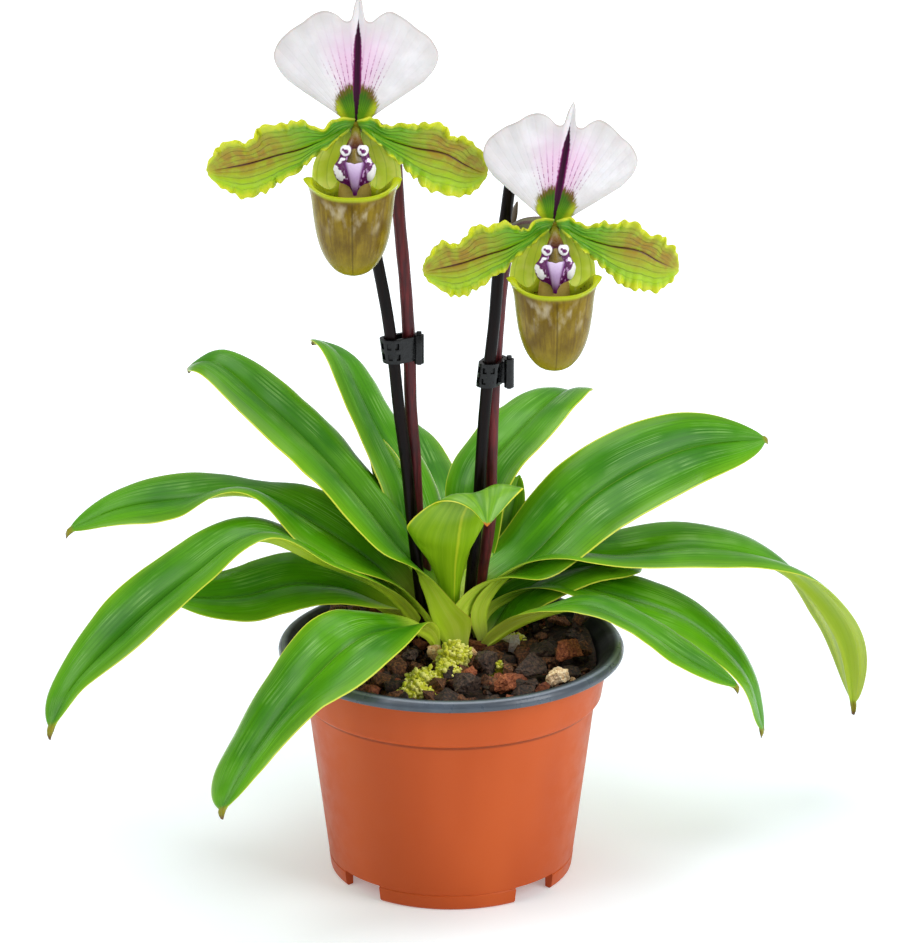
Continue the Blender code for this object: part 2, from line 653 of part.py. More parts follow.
def make_petal(name, flower, hand, stretch):
    """A spreading strap petal with crisped margins; hand is -1 on the left."""
    spine = smooth_curve(PETAL_SPINE, 12)
    grid = []
    for i, point in enumerate(spine):
        t = i / (len(spine) - 1)
        ahead = (spine[min(i + 1, 11)] - spine[max(i - 1, 0)]).normalized()
        up = Vector((0, 1, 0)).cross(ahead)
        up = up if up.z > 0 else -up
        row = []
        for s in (-1.0, -0.5, 0.0, 0.5, 1.0):
            reach = lerp_table(PETAL_UPPER, t) * s if s > 0 else lerp_table(PETAL_LOWER, t) * s
            wave = 1.1 * abs(s) ** 2 * math.sin(19 * t + 2 * s) * math.sin(math.pi * t)
            p = point + up * reach + Vector((0, wave, 0))
            row.append(place(flower, (hand * (3.6 + (p.x - 3.6) * stretch), p.y, p.z)))
        grid.append(row)
    sheet_solid(name, grid, lambda i, j: 0.9, FINISH["petal"])


def pouch_rim_lift(angle):
    """How far the rim stands above its front, with an ear at each side."""
    back = (1 - math.cos(angle)) / 2
    ears = math.sin(angle) ** 2
    return POUCH_BACK * back ** 3 + POUCH_EARS * ears


def make_pouch(name, flower):
    """The slipper: a hollow pouch, open at the top between its ears."""
    rings = []
    for wall in (0.0, POUCH_WALL):
        side_rings = []
        for share, half_width, half_depth, middle in POUCH_ROWS:
            ring = []
            for k in range(POUCH_SIDES):
                a = 2 * math.pi * k / POUCH_SIDES
                x = POUCH_MIDDLE + (half_width - wall) * math.sin(a)
                y = middle - (half_depth - wall) * math.cos(a)
                lift = pouch_rim_lift(a) * (1 - share) ** 2
                z = POUCH_TOP - (POUCH_DROP - wall * 0.8) * share + lift
                ring.append(place(flower, (x, y, z)))
            side_rings.append(ring)
        rings.append(side_rings)
    outer, inner = rings
    path = list(reversed(outer)) + inner
    loft(name, path, FINISH["pouch"])


def make_column(name, flower):
    """The column with its hood and, hanging in front, its shield."""
    points = [(0, 3.6, -3), (0, 1.5, -3), (0, -2.5, -3.6), (0, -5.5, -6), (0, -7.4, -9.5),
              (0, -8.4, -13), (0, -9, -17), (0, -9.4, -20), (0, -9.6, -22.7)]
    widths = [2.4, 3.2, 3.2, 3.2, 4.2, 6.4, 5.8, 3.4, 0.8]
    depths = [2.4, 3.0, 3.0, 2.2, 1.6, 1.5, 1.3, 1.0, 0.6]
    size = flower["size"]
    tube(name, [place(flower, p) for p in points], [w * size for w in widths],
         [d * size for d in depths], FINISH["column"], facing=(0, -1, 1))


def make_ovary(name, flower, path):
    """The ribbed neck from the stem's end to the back of the column."""
    back = place(flower, (0, 4.15 + GAP, -3))
    into = place(flower, (0, 7.8, -3.6))
    points = smooth_curve(list(path) + [into, back], 9)
    radii = [1.9, 2.2, 2.5, 2.6, 2.6, 2.5, 2.4, 2.3, 2.2]
    tube(name, points, radii, radii, FINISH["ovary"])


def make_bract(name, base, tip, turn):
    """A short pointed leaf that hugs the neck where it leaves the stem."""
    base = Vector(base)
    reach = Vector(tip) - base
    axis = reach.normalized()
    side = Matrix.Rotation(math.radians(turn), 3, axis) @ axis.orthogonal().normalized()
    up = side.cross(axis)
    grid = []
    for v, half in ((0.0, 1.2), (0.25, 2.6), (0.5, 2.8), (0.75, 1.9), (1.0, 0.3)):
        row = []
        for u in (-1.0, -0.5, 0.0, 0.5, 1.0):
            row.append(base + reach * v + side * (half * u) + up * (1.1 * half / 2.8 * u * u))
        grid.append(row)
    sheet_solid(name, grid, lambda i, j: 0.6, FINISH["bract"])


# --- loose pieces on the bed -------------------------------------------------

def wobble(k, seed):
    """A repeatable number between -1 and 1."""
    return math.sin(12.9898 * k + 78.233 * seed) * math.cos(4.1 * k * seed + 1.7)


def make_stone(name, spot, width, height, seed, finish):
    """An angular chunk with a flat underside, lying on the mix."""
    work = bmesh.new()
    for k in range(16):
        level = (k % 4) / 3
        angle = 2.4 * k + 0.6 * wobble(k, seed)
        girth = width / 2 * (1.0 - 0.45 * level ** 2) * (0.86 + 0.14 * wobble(k + 7, seed))
        work.verts.new((girth * math.cos(angle) * MM, girth * 0.82 * math.sin(angle) * MM,
                        height * level * (1 - 0.12 * abs(wobble(k + 3, seed))) * MM))
    bmesh.ops.convex_hull(work, input=work.verts)
    loose = [v for v in work.verts if not v.link_faces]
    bmesh.ops.delete(work, geom=loose, context="VERTS")
    bmesh.ops.triangulate(work, faces=work.faces)
    bmesh.ops.recalc_face_normals(work, faces=work.faces)
    mesh = bpy.data.meshes.new(name)
    work.to_mesh(mesh)
    work.free()
    mesh.materials.append(FINISH[finish])
    obj = bpy.data.objects.new(name, mesh)
    obj.location = (spot[0] * MM, spot[1] * MM, (BED_TOP + GAP) * MM)
    bpy.context.scene.collection.objects.link(obj)


def make_moss(name, spot, width, height, seed):
    """A low lumpy cushion of moss with a flat underside."""
    work = bmesh.new()
    bmesh.ops.create_icosphere(work, subdivisions=2, radius=1.0)
    for k, vert in enumerate(work.verts):
        grow = 1 + 0.14 * wobble(k, seed)
        vert.co.x *= width / 2 * grow * MM
        vert.co.y *= width * 0.4 * grow * MM
        vert.co.z = max(0.0, vert.co.z) * height * grow * MM
    bmesh.ops.dissolve_limit(work, angle_limit=0.01, verts=work.verts, edges=work.edges)
    bmesh.ops.triangulate(work, faces=work.faces)
    bmesh.ops.recalc_face_normals(work, faces=work.faces)
    mesh = bpy.data.meshes.new(name)
    work.to_mesh(mesh)
    work.free()
    mesh.materials.append(FINISH["moss"])
    obj = bpy.data.objects.new(name, mesh)
    obj.location = (spot[0] * MM, spot[1] * MM, (BED_TOP + GAP) * MM)
    bpy.context.scene.collection.objects.link(obj)


# --- the whole plant ----------------------------------------------------------

def make_flower(side, flower, neck, bract, stretch_left, stretch_right):
    """All eight pieces of one flower."""
    make_dorsal_sepal(f"dorsal_sepal_{side}", flower)
    make_synsepal(f"synsepal_{side}", flower)
    make_petal(f"petal_outer_{side}" if side == "left" else f"petal_inner_{side}", flower, -1, stretch_left)
    make_petal(f"petal_inner_{side}" if side == "left" else f"petal_outer_{side}", flower, 1, stretch_right)
    make_pouch(f"pouch_{side}", flower)
    make_column(f"column_{side}", flower)
    make_ovary(f"ovary_{side}", flower, neck)
    make_bract(f"bract_{side}", *bract)


def main():
    """Build every piece."""
    clear_scene()
    FINISH.update({
        "terracotta": make_material("terracotta plastic", (0.50, 0.10, 0.03), 0.45),
        "lip": make_material("slate plastic", (0.045, 0.05, 0.055), 0.4),
        "mix": make_material("growing mix", (0.05, 0.025, 0.015), 0.9),
        "rhizome": make_material("rhizome", (0.20, 0.16, 0.05), 0.7),
        "leaf": make_material("leaf", (0.07, 0.22, 0.03), 0.35),
        "young": make_material("young leaf", (0.25, 0.42, 0.03), 0.35),
        "stem": make_material("burgundy stem", (0.10, 0.015, 0.02), 0.5),
        "stake": make_material("dark stake", (0.015, 0.012, 0.013), 0.45),
        "clip": make_material("black plastic", (0.012, 0.013, 0.014), 0.4),
        "sepal": make_material("white sepal", (0.85, 0.82, 0.82), 0.5),
        "synsepal": make_material("pale green sepal", (0.42, 0.60, 0.08), 0.5),
        "petal": make_material("green petal", (0.18, 0.40, 0.03), 0.45),
        "pouch": make_material("olive pouch", (0.22, 0.17, 0.025), 0.25),
        "column": make_material("purple column", (0.25, 0.02, 0.18), 0.4),
        "ovary": make_material("ovary", (0.12, 0.05, 0.04), 0.5),
        "bract": make_material("bract", (0.16, 0.20, 0.05), 0.5),
        "bark": make_material("dark bark", (0.03, 0.018, 0.013), 0.9),
        "lava": make_material("red lava", (0.16, 0.045, 0.02), 0.95),
        "pale": make_material("pale stone", (0.62, 0.50, 0.38), 0.8),
        "moss": make_material("moss", (0.40, 0.48, 0.06), 0.9),
    })
    make_pot()
    bores = [make_stake("stake_left", STAKE_LEFT), make_stake("stake_right", STAKE_RIGHT)]
    make_bed(bores)
    make_rhizome()
    make_stem("stem_left", STEM_LEFT)
    make_stem("stem_right", STEM_RIGHT)
    make_clip("clip_left", STAKE_LEFT, STEM_LEFT, 187, (-10.9, 3.9))
    make_clip("clip_right", STAKE_RIGHT, STEM_RIGHT, 178, (19.7, 5.6))
    for name, spec in LEAVES.items():
        make_leaf(name, spec, FINISH["young" if name == "leaf_young" else "leaf"])
    make_flower("left", LEFT_FLOWER, [(-18.5, 2.4, 250.8), (-20.5, -0.5, 259), (-25.5, -5, 265.5)],
                ((-15.5, 5.8, 251.2), (-18.8, 2.4, 263), 40), 1.0, 0.89)
    make_flower("right", RIGHT_FLOWER, [(20.2, 6.3, 227.6), (24, 1.5, 230.6), (29, -6.5, 233)],
                ((18.4, 11.2, 227.2), (22.3, 7.4, 237.5), 60), 0.9, 0.88)
    for name, (spot, width, height, seed, finish) in STONES.items():
        make_stone(name, spot, width, height, seed, finish)
    for name, (spot, width, height, seed) in MOSSES.items():
        make_moss(name, spot, width, height, seed)
    for obj in bpy.context.scene.objects:
        obj.location += Vector((POT_AXIS[0], POT_AXIS[1], 0)) * MM


FINISH = {}
main()
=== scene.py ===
"""Looks of the potted slipper orchid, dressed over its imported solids.

Sizes are millimetres about the pot's axis and become metres when a mesh is made.
+X is right, -Y is the front and +Z is up.
"""

import json
import math
import random

import bmesh
import bpy
from mathutils import Matrix, Vector, noise

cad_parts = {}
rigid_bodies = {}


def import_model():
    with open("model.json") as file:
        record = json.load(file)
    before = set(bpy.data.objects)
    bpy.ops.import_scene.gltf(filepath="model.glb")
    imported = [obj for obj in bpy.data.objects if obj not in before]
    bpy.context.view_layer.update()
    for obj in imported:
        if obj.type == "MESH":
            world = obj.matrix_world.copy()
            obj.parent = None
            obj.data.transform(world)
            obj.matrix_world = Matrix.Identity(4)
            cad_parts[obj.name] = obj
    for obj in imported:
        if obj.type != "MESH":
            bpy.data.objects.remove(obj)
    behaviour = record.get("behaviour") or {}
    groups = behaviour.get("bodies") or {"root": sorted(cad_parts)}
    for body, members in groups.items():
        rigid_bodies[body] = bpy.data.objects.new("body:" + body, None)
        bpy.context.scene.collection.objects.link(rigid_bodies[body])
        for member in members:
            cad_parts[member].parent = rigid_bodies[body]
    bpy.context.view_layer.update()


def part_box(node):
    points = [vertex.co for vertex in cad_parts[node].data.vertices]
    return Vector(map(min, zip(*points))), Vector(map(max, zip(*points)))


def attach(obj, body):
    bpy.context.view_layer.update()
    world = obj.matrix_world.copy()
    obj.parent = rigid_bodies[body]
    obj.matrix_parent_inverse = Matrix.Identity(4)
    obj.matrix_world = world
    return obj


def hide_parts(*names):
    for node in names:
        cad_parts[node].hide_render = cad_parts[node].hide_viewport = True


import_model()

MM = 0.001
shell_low, shell_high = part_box("pot_shell")
lip_low, lip_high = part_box("pot_liner")
AXIS = Vector(((shell_low.x + shell_high.x) / 2, (shell_low.y + shell_high.y) / 2, 0))
LIP_TOP = lip_high.z / MM
LIP_RADIUS = (lip_high.x - lip_low.x) / 2 / MM
SHELL_TOP = shell_high.z / MM
BED_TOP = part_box("growing_mix")[1].z / MM
BED_DEPTH = 12
BED_BANK = 7.5                # how far loose bark is banked up against the far wall

# --- view
EYE_BACK = 1200.0             # camera distance in front of the pot's axis
EYE_HEIGHT = 537.2
LOOK_DOWN = 18.12             # degrees
LENS = 141.1
CAMERA_SHIFT = -0.0013
FLOOR_REACH = 8.0             # metres, as the lamps are
LAMPS = {                     # spot, target, size, power
    "overhead": ((0.1, 0.25, 1.5), (0, 0, 0.12), (1.3, 1.0), 12),
    "key": ((1.05, -0.6, 0.8), (0, 0, 0.13), (0.7, 0.8), 9),
    "fill": ((-0.8, -0.4, 1.1), (0, 0, 0.12), (0.6, 0.8), 6),
}

# --- pot
BAND_TOP_RADIUS = 54.6
BAND_LOW_RADIUS = 52.2
BAND_LOW = 64.0
STEP_RADIUS = 49.8
STEP_LOW = 60.5
BASE_RADIUS = 42.3
FLOOR_LOW = 7.0
FOOT_RING = 2.8
POT_WALL = 1.5
LINER_WALL = 1.2
LINER_GAP = 0.3
LIP_HEIGHT = 3.6
DRAIN_RADIUS = 4
DRAIN_SPREAD = 24
FOOT_GAP_WIDTH = 17.5
FOOT_GAP_HEIGHT = 6.0
FOOT_GAP_TURN = 43.0          # degrees
SCRIBE_HEIGHT = 5.6           # the fine line round the foot
POT_SEGMENTS = 160

# --- leaves
# how a leaf grows unless it says otherwise: folds in degrees, lengths as shares of the leaf's
LEAF_HABIT = {"sheath": 62, "fold": 7, "arch": 0.1, "base": 0.5, "open": 0.36, "swell": 1, "waist": 0,
              "early": 0}
HOOK_START = 0.978            # share of the length where a leaf's dry tip begins
HOOK_DROP = 2.0
WIDEST = 0.55
WAIST_AT = 0.17
WAIST_SPAN = 0.09
GROOVE = 0.026                # share of the half width
LEAF_FOOT = BED_TOP + 0.3
LEAF_STATIONS = 110
LEAF_COLUMNS = 29
LEAF_THICK = 1.1
LEAF_RIPPLE = 0.16
LEAVES = {                    # base spot, azimuth, half width, path of (reach, side, height), rolls, habit
    "leaf_upper_left": ((1, 9), 158, 19.5,
        [(-3, 6, LEAF_FOOT), (3, 7, 87), (9, 5.5, 101), (23, 4, 116), (45, 2, 138), (71, 2, 159),
         (92, 1, 171), (102, -3, 167)],
        [26, 26, 20, 6, 2, -3, -10, -11],
        {"base": 0.74, "sheath": 74, "open": 0.3, "swell": 1.7, "waist": 0.3, "fold": 3}),
    "leaf_long_left": ((-6, 12), 177, 16,
        [(0, 0, LEAF_FOOT), (17, 0, 102), (40, 3, 121), (65, 1, 132), (88, -2, 128), (110, -2, 124),
         (128, 2, 117)],
        [-14, -14, -25, 11, -14, -21, -22], {}),
    "leaf_arched_left": ((-7.5, 13), 204, 16.5,
        [(0, 0, LEAF_FOOT), (17, 1, 99), (42, 1, 114), (63, -3, 124), (86, -2, 114), (111, -4, 96),
         (131, -4, 78), (142, 6, 69)],
        [2, -4, -6, 4, -5, -13, -6, -7],
        {"base": 0.22, "sheath": 60, "fold": 15, "open": 0.2, "swell": 1.8}),
    "leaf_low_left": ((-9, 17), 186, 14.5,
        [(0, 0, LEAF_FOOT), (15, 0, 89), (29, 1, 97), (45, 0, 99), (65, 0, 95), (91, 0, 96)],
        [-4, -6, -10, -25, -27, -22], {}),
    "leaf_front_left": ((-4, 6), 231, 17.5,
        [(0, 0, LEAF_FOOT), (12, 3, 87), (28, 5, 94), (52, 6, 97), (76, 0, 82), (98, -2, 65), (119, 5, 57)],
        [11, 9, -4, -19, 11, 18, 18], {"base": 0.22, "swell": 2.0}),
    "leaf_tall_left": ((-3, 20), 126, 15.5,
        [(0, 0, LEAF_FOOT), (14, -3, 99), (25, -2, 125), (42, 1, 147), (62, 1, 165), (82, -2, 166)],
        [4, 9, 18, 26, 28, 17], {"fold": 4}),
    "leaf_back_centre": ((0, 24), 102, 15.5,
        [(0, 0, LEAF_FOOT), (25, 0, 98), (54, 0, 112), (85, -1, 119), (112, -4, 123)],
        [3, 4, 6, 8, 10], {}),
    "leaf_tall_right": ((8, 21), 62, 16,
        [(0, 0, LEAF_FOOT), (12, 4, 102), (19, 7, 127), (38, 1, 142), (64, -1, 148), (88, 3, 142)],
        [-4, -8, -13, -8, -9, -5], {"base": 0.3, "swell": 1.6}),
    "leaf_upper_right": ((9, 13), 32, 17,
        [(-7, 0, LEAF_FOOT), (-4, -1, 91), (4, -1, 97), (18, -1, 103), (49, 1, 122), (87, 0, 133),
         (125, 0, 131)],
        [-15, -15, -10, 15, 35, 44, 48], {"open": 0.3}),
    "leaf_long_right": ((12, 16), 20, 18,
        [(0, 0, LEAF_FOOT), (0, 0, 90), (8, 0, 100), (23, 2, 105), (50, 3, 101), (81, 0, 101),
         (112, -3, 91), (134, -4, 65), (146, 2, 31)],
        [1, 1, 1, 0, 4, 9, -1, -15, -12], {"open": 0.26}),
    "leaf_middle_right": ((12, 18), 24, 16,
        [(0, 0, LEAF_FOOT), (15, 4, 91), (31, 1, 97), (46, -1, 98), (60, 0, 95)],
        [18, 18, 10, 8, 8], {"base": 0.5, "sheath": 24, "open": 0.2, "early": 26}),
    "leaf_arched_right": ((11, 17), 6, 15,
        [(0, 4, LEAF_FOOT), (2, 6, 83), (12, 7, 90), (26, 5, 94), (51, 0, 90), (75, 0, 79), (93, -1, 61),
         (101, 0, 38)],
        [4, 4, 3, 3, 16, 17, 15, 28], {"base": 0.24, "swell": 1.6, "fold": 3, "early": 24}),
    "leaf_front_right": ((9, 8), -22, 13.5,
        [(0, 0, LEAF_FOOT), (20, -2, 91), (40, -1, 98), (59, -1, 93), (77, -1, 84), (95, 1, 76)],
        [-5, -10, -5, -9, -2, 1], {"base": 0.26, "swell": 2.0}),
    "leaf_inner_left": ((-8, 30), 140, 9,
        [(0, 0, LEAF_FOOT), (10, 0, 103), (19, 0, 126), (27, 0, 144)],
        [0, 0, -10, -20], {"fold": 25, "arch": 0}),
    "leaf_inner_right": ((14, 34), 50, 7.5,
        [(0, 0, LEAF_FOOT), (6, 0, 95), (11, 0, 112), (16, 0, 128)],
        [0, 0, 10, 20], {"fold": 25, "arch": 0}),
}
# the young leaf, in cross-sections from the bed up: margin, half, midrib, half, margin
YOUNG_LEAF = [
    [(-1, 16, 76), (-2, 12, 76), (1, 10, 76), (3, 12, 76), (3.5, 16, 76)],
    [(-3.5, 11, 99), (-4, 8, 99.5), (1, 4.5, 99.5), (2.6, 7, 99.5), (3, 10, 100)],
    [(-7, 8, 111), (-7.8, 5, 111), (1.3, 1, 110.5), (4, 3.5, 110.5), (6, 8.5, 112)],
    [(-13, 4.5, 118.2), (-12, 2.5, 118.2), (2.2, -3, 119.5), (7.5, 1, 119), (9, 9, 123)],
    [(-14.7, 2.5, 121.8), (-10.6, -2, 121.5), (2.7, -4.4, 124.8), (9.3, 1, 122.8), (13, 9, 128)],
    [(-15.2, -1, 125), (-7, -4.6, 126.5), (3.4, -5.5, 129.5), (10.6, 0.5, 127), (18, 8, 132.5)],
    [(-11.5, -4, 130.5), (-4, -6, 133), (5.5, -5.5, 134.5), (15, -1, 134), (24, 3, 137)],
    [(-5.5, -7, 135.5), (0, -6, 137.8), (8, -5.2, 138.3), (16, -4, 141), (24.5, -2.6, 139)],
    [(1.5, -10.5, 136.9), (4.5, -8.5, 138), (9.3, -8, 137.2), (15.5, -7, 139.5), (21, -6.5, 136.8)],
    [(7, -13.2, 135), (8.6, -12, 135.6), (10.6, -11.5, 134.6), (14.2, -10.8, 136), (17.2, -10.5, 133.8)],
    [(11.6, -15, 130.2), (11.9, -15, 130.1), (12.1, -15.2, 129.8), (12.4, -15, 130), (12.7, -14.9, 130.2)],
]

# --- stems and stakes, from the bed up
STEM_RADIUS = 2.15
STAKE_RADIUS = 2.05
STEMS = {
    "stem_left": [(-6, 18.5, 75.3), (-8.6, 15, 100), (-11.4, 12, 121), (-12.6, 10.4, 147),
                  (-13.8, 8.6, 165), (-14.2, 7, 185), (-15.4, 5.4, 208), (-17.6, 4, 235),
                  (-18.4, 2.6, 251)],
    "stem_right": [(8, 19.5, 75.3), (10.8, 16.5, 103), (13.3, 14, 121), (13.8, 12, 145),
                   (14.6, 10.4, 172), (15.8, 9.4, 192), (17.4, 8.6, 211), (19.8, 6.8, 227)],
}
STAKES = {
    "stake_left": [(-8.6, 10.6, 75.3), (-11, 9, 100), (-13.3, 7.6, 122), (-15.6, 6.2, 147),
                   (-17.6, 4.8, 163), (-19.6, 3, 184), (-21.6, 1.6, 200), (-25.2, 0, 221),
                   (-27.6, -1, 235)],
    "stake_right": [(4.4, 13.4, 75.3), (6.8, 10.8, 100), (9.6, 8, 134), (11.1, 6, 160), (12.4, 4.8, 176),
                    (14.4, 3.6, 195), (16.2, 2.8, 218), (18.4, 2, 235), (20, 1.6, 248)],
}
CLIPS = {                     # middle height, barrel spot
    "left": (187, (-10.9, 3.9)),
    "right": (178, (19.7, 5.6)),
}
CLIP_HEIGHT = 8.5
CLIP_WALL = 1.3
CLIP_PLAY = 0.35
WEB_THICK = 1.5
PIN_RADIUS = 0.9
WINDOW = (1.9, 1.5, 2.1)
WINDOW_ROWS = (-1.9, 1.9)
WINDOW_TURNS = (-1.5, -0.75, 0.0, 0.75, 1.5)
BARREL_RADIUS = 1.7
BARREL_HEIGHT = 10.0

# --- flowers, each in its own frame from where the petals meet
FLOWERS = {
    "left": {"centre": (-31.1, -18, 270.4), "yaw": 0.0, "lean": 1.8, "fans": (62.0, 59.0), "size": 1.0},
    "right": {"centre": (33.7, -24, 238.3), "yaw": 4.0, "lean": 8.6, "fans": (62.0, 56.0), "size": 0.97},
}
SEPAL_RIM = [(0.0, 42.0), (0.028, 39.5), (0.05, 35.4), (0.075, 33.8), (0.13, 33.9), (0.19, 36.4),
             (0.26, 38.2), (0.35, 38.2), (0.5, 36.9), (0.68, 36.4), (0.82, 35.0), (0.89, 32.8),
             (0.95, 29.0), (1.0, 23.5)]
# petal outlines as (reach, rise): a broad one and a neat one, with crisped margins
BROAD_PETAL = {
    "spine": [(0.8, -0.4), (8.3, -4.7), (16, -8.2), (26, -11), (36, -14), (46, -16.4), (49, -17.2)],
    "upper": [(0, 1.8), (3.9, 2.1), (7, 1.2), (11.4, -1.9), (15.6, 0), (19.7, 1.2), (23.7, -0.2),
              (28.9, -0.2), (31.7, -1.2), (33.7, -4.7), (37.2, -6.8), (41.7, -5.8), (44.8, -7.9),
              (47.2, -11.1), (49.1, -15.2), (49.2, -17)],
    "lower": [(2.2, -1.8), (5, -4.4), (8.3, -7.6), (14.4, -11.7), (18.3, -15.8), (23.7, -18.9),
              (28, -22), (32.2, -24.3), (37.2, -25.4), (41.7, -23.6), (46, -21), (48.9, -18.2)],
}
NEAT_PETAL = {
    "spine": [(0.8, -0.4), (9.4, -5.3), (18.3, -8.2), (29.4, -10.5), (36, -14.6), (42.2, -17.5),
              (43, -17.6)],
    "upper": [(0.3, 1.2), (2.8, 1.8), (5, 2.1), (7.2, 0.9), (10.5, -0.9), (13.9, -0.2), (16.1, 0.4),
              (19, -0.3), (23.9, 0.4), (27.2, 0.2), (29.4, -0.9), (30.3, -2.9), (32.2, -4.7), (35, -4.7),
              (37.8, -5.8), (38.9, -8.2), (41.1, -9.3), (42.2, -11.7), (43.1, -17)],
    "lower": [(2.2, -1.8), (7.2, -7), (12.8, -12.3), (16.1, -15.2), (20.6, -19.9), (25.6, -23.4),
              (29.4, -24), (32.8, -24.9), (35.6, -24.9), (37.8, -23.9), (41.1, -21), (43.1, -18.1)],
}
SYNSEPAL_HALVES = [(0.0, 7.5), (0.21, 10.8), (0.4, 13.6), (0.58, 14.6), (0.78, 14.0), (0.92, 9.5),
                   (1.0, 2.0)]
# the shield: half width at each height, and where its hanging plate and the boss above it end
SHIELD_OUTLINE = [(-22.5, 0.3), (-21, 0.9), (-19.4, 1.7), (-18.7, 2.8), (-18.1, 4.6), (-17, 5.7),
                  (-15.6, 6.6), (-13.8, 7), (-12.4, 6.6), (-11, 5.4), (-9.6, 4.7), (-8.4, 4.5),
                  (-7.4, 4.4), (-6.6, 4.1), (-5.9, 3.2)]
PLATE_TOP = -11.3
PLATE_HALF = 3.5
PLATE_DROP = 11.2
BOSS_TOP = -7.2
EYES = ((-3.2, -7.4), (2.4, -7.4))
EYE_RADIUS = 1.45
# pale patches on the shield: start, end and half width; the two larger are its white lobes, the two small
# ones painted highlights on the purple arms
PATCHES = (((-6.5, -13.3), (-4.6, -16.4), 1.0), ((6.2, -13.1), (4.7, -16.2), 1.05),
           ((-4.1, -10.2), (-4.9, -11.4), 0.3), ((3.8, -10.3), (4.5, -11.6), 0.3))
HOOD_PATH = [(0, 3.6, -2.4), (0, 1.5, -2.4), (0, -1.6, -2.8), (0, -4.0, -4.0), (-0.1, -6.0, -5.6),
             (-0.2, -7.4, -7.4), (-0.3, -7.9, -9.4)]
HOOD_WIDTHS = [(0, 2.4), (0.3, 2.0), (0.5, 1.7), (0.8, 3.0), (1.0, 2.8)]
HOOD_DEPTHS = [(0, 2.2), (0.3, 1.9), (0.6, 1.5), (0.85, 1.0), (1.0, 0.7)]
NECK_RADII = [(0, 1.95), (0.3, 2.4), (0.6, 2.7), (0.85, 2.5), (1.0, 2.3)]
POUCH_ROWS = [                # share down, half width, half depth, middle depth
    (0.0, 15.6, 10.6, -11.4), (0.07, 14.5, 10.6, -11.5), (0.16, 13.7, 10.9, -11.8),
    (0.36, 12.9, 11.2, -12.2), (0.56, 11.8, 10.6, -12.6), (0.73, 10.0, 9.2, -13.0),
    (0.86, 7.6, 7.2, -13.3), (0.95, 4.6, 4.6, -13.5), (1.0, 0.4, 0.4, -13.5)]
POUCH_MIDDLE = -0.9
POUCH_TOP = -20.4
POUCH_DROP = 27.9
POUCH_BACK = -7.0
POUCH_CLAW = 18.0             # narrow tab at the back that holds the column
POUCH_EARS = 4.2
POUCH_WALL = 0.8
POUCH_CURL = 2.4
NECKS = {                     # the way from the stem's end towards the flower
    "left": [(-18.5, 2.4, 250.8), (-20.5, -0.5, 259), (-25.5, -5, 265.5)],
    "right": [(20.2, 6.3, 227.6), (24, 1.5, 230.6), (29, -6.5, 233)],
}
BRACTS = {                    # base, tip, turn in degrees
    "left": ((-15.5, 5.8, 251.2), (-18.8, 2.4, 263), 40),
    "right": ((18.4, 11.2, 227.2), (22.3, 7.4, 237.5), 60),
}
PETALS = {                    # piece: outline, hand, stretch, seed
    "left": {"petal_outer_left": (BROAD_PETAL, -1, 1.0, 0.0),
             "petal_inner_left": (NEAT_PETAL, 1, 1.0, 1.7)},
    "right": {"petal_inner_right": (BROAD_PETAL, -1, 0.9, 2.6),
              "petal_outer_right": (NEAT_PETAL, 1, 1.0, 4.1)},
}

# --- loose pieces on the bed
CROWN = (0, 14, 9)            # where the growths stand: x, y and clear radius
CHIP_LAYERS = {               # spacing, smallest, largest, tilt, seed
    "bark_chips": (6.6, 6.0, 12.0, 0.7, 4),
    "grit_chips": (3.8, 3.0, 7.0, 0.9, 12),
    "fine_grit": (2.2, 1.4, 3.4, 0.9, 31),
}
STONE_LOOKS = {               # slot, finish, then its low, high and pit colours
    "bark": ("bark", "dark bark", (32, 22, 18), (96, 74, 60), (16, 10, 8)),
    "brown_bark": ("lava", "brown bark", (72, 40, 20), (138, 90, 56), (34, 20, 12)),
    "lava": ("lava", "red lava", (122, 58, 28), (190, 112, 70), (62, 26, 14)),
    "cream_stone": ("pale_stone", "cream stone", (238, 196, 142), (254, 236, 200), (184, 124, 76)),
    "tan_stone": ("pale_stone", "tan stone", (232, 176, 116), (250, 224, 176), (180, 110, 62)),
    "white_stone": ("pale_stone", "white stone", (248, 228, 212), (255, 250, 242), (176, 150, 134)),
}
STONES = {                    # spot, width, height, seed, kind
    "stone_white": ((21, 9), 7.5, 8, 3, "white_stone"),
    "stone_cream": ((36, -21), 9.5, 7, 5, "cream_stone"),
    "lava_red": ((41, -6), 11, 9.5, 8, "lava"),
    "bark_large": ((27, -14), 14, 9, 11, "bark"),
    "bark_front": ((6, -30), 13, 7, 13, "bark"),
    "lava_orange": ((18.5, -30), 9, 7.5, 17, "lava"),
    "bark_middle": ((12.5, -12), 10, 8.5, 19, "bark"),
    "lava_rust": ((5.5, -18.5), 7.5, 5.5, 23, "lava"),
    "bark_right": ((31, 3), 13, 6.5, 29, "bark"),
    "bark_back": ((38, 16), 9, 5.5, 31, "brown_bark"),
    "bark_left": ((-15, -3), 8, 5.5, 37, "bark"),
    "bark_far_left": ((-22, 6), 8, 5.5, 41, "bark"),
    "chip_tan": ((-16, 19), 6.5, 5, 43, "tan_stone"),
    "chip_tan_left": ((-5.5, -2), 6.5, 6, 43, "tan_stone"),
    "chip_tan_right": ((6.5, -2), 5.5, 5.5, 47, "tan_stone"),
}
MOSSES = {                    # spot, width, depth, height, seed
    "moss_crown": ((1, -6), 11.5, 9, 8, 2),
    "moss_front": ((-1.5, -15), 9, 7, 6, 4),
    "moss_left": ((-10, -20), 11, 8, 5.2, 6),
    "moss_left_low": ((-11.5, -30), 11.5, 6, 4.6, 9),
    "moss_sprig_front": ((16.5, -10.5), 3.4, 3, 4.6, 12),
    "moss_sprig_right": ((23, 17), 6.5, 4, 4.5, 15),
}
LOOSE_EXTRAS = ("chip_tan_left", "chip_tan_right", "moss_sprig_front", "moss_sprig_right")


# --- curves and tables

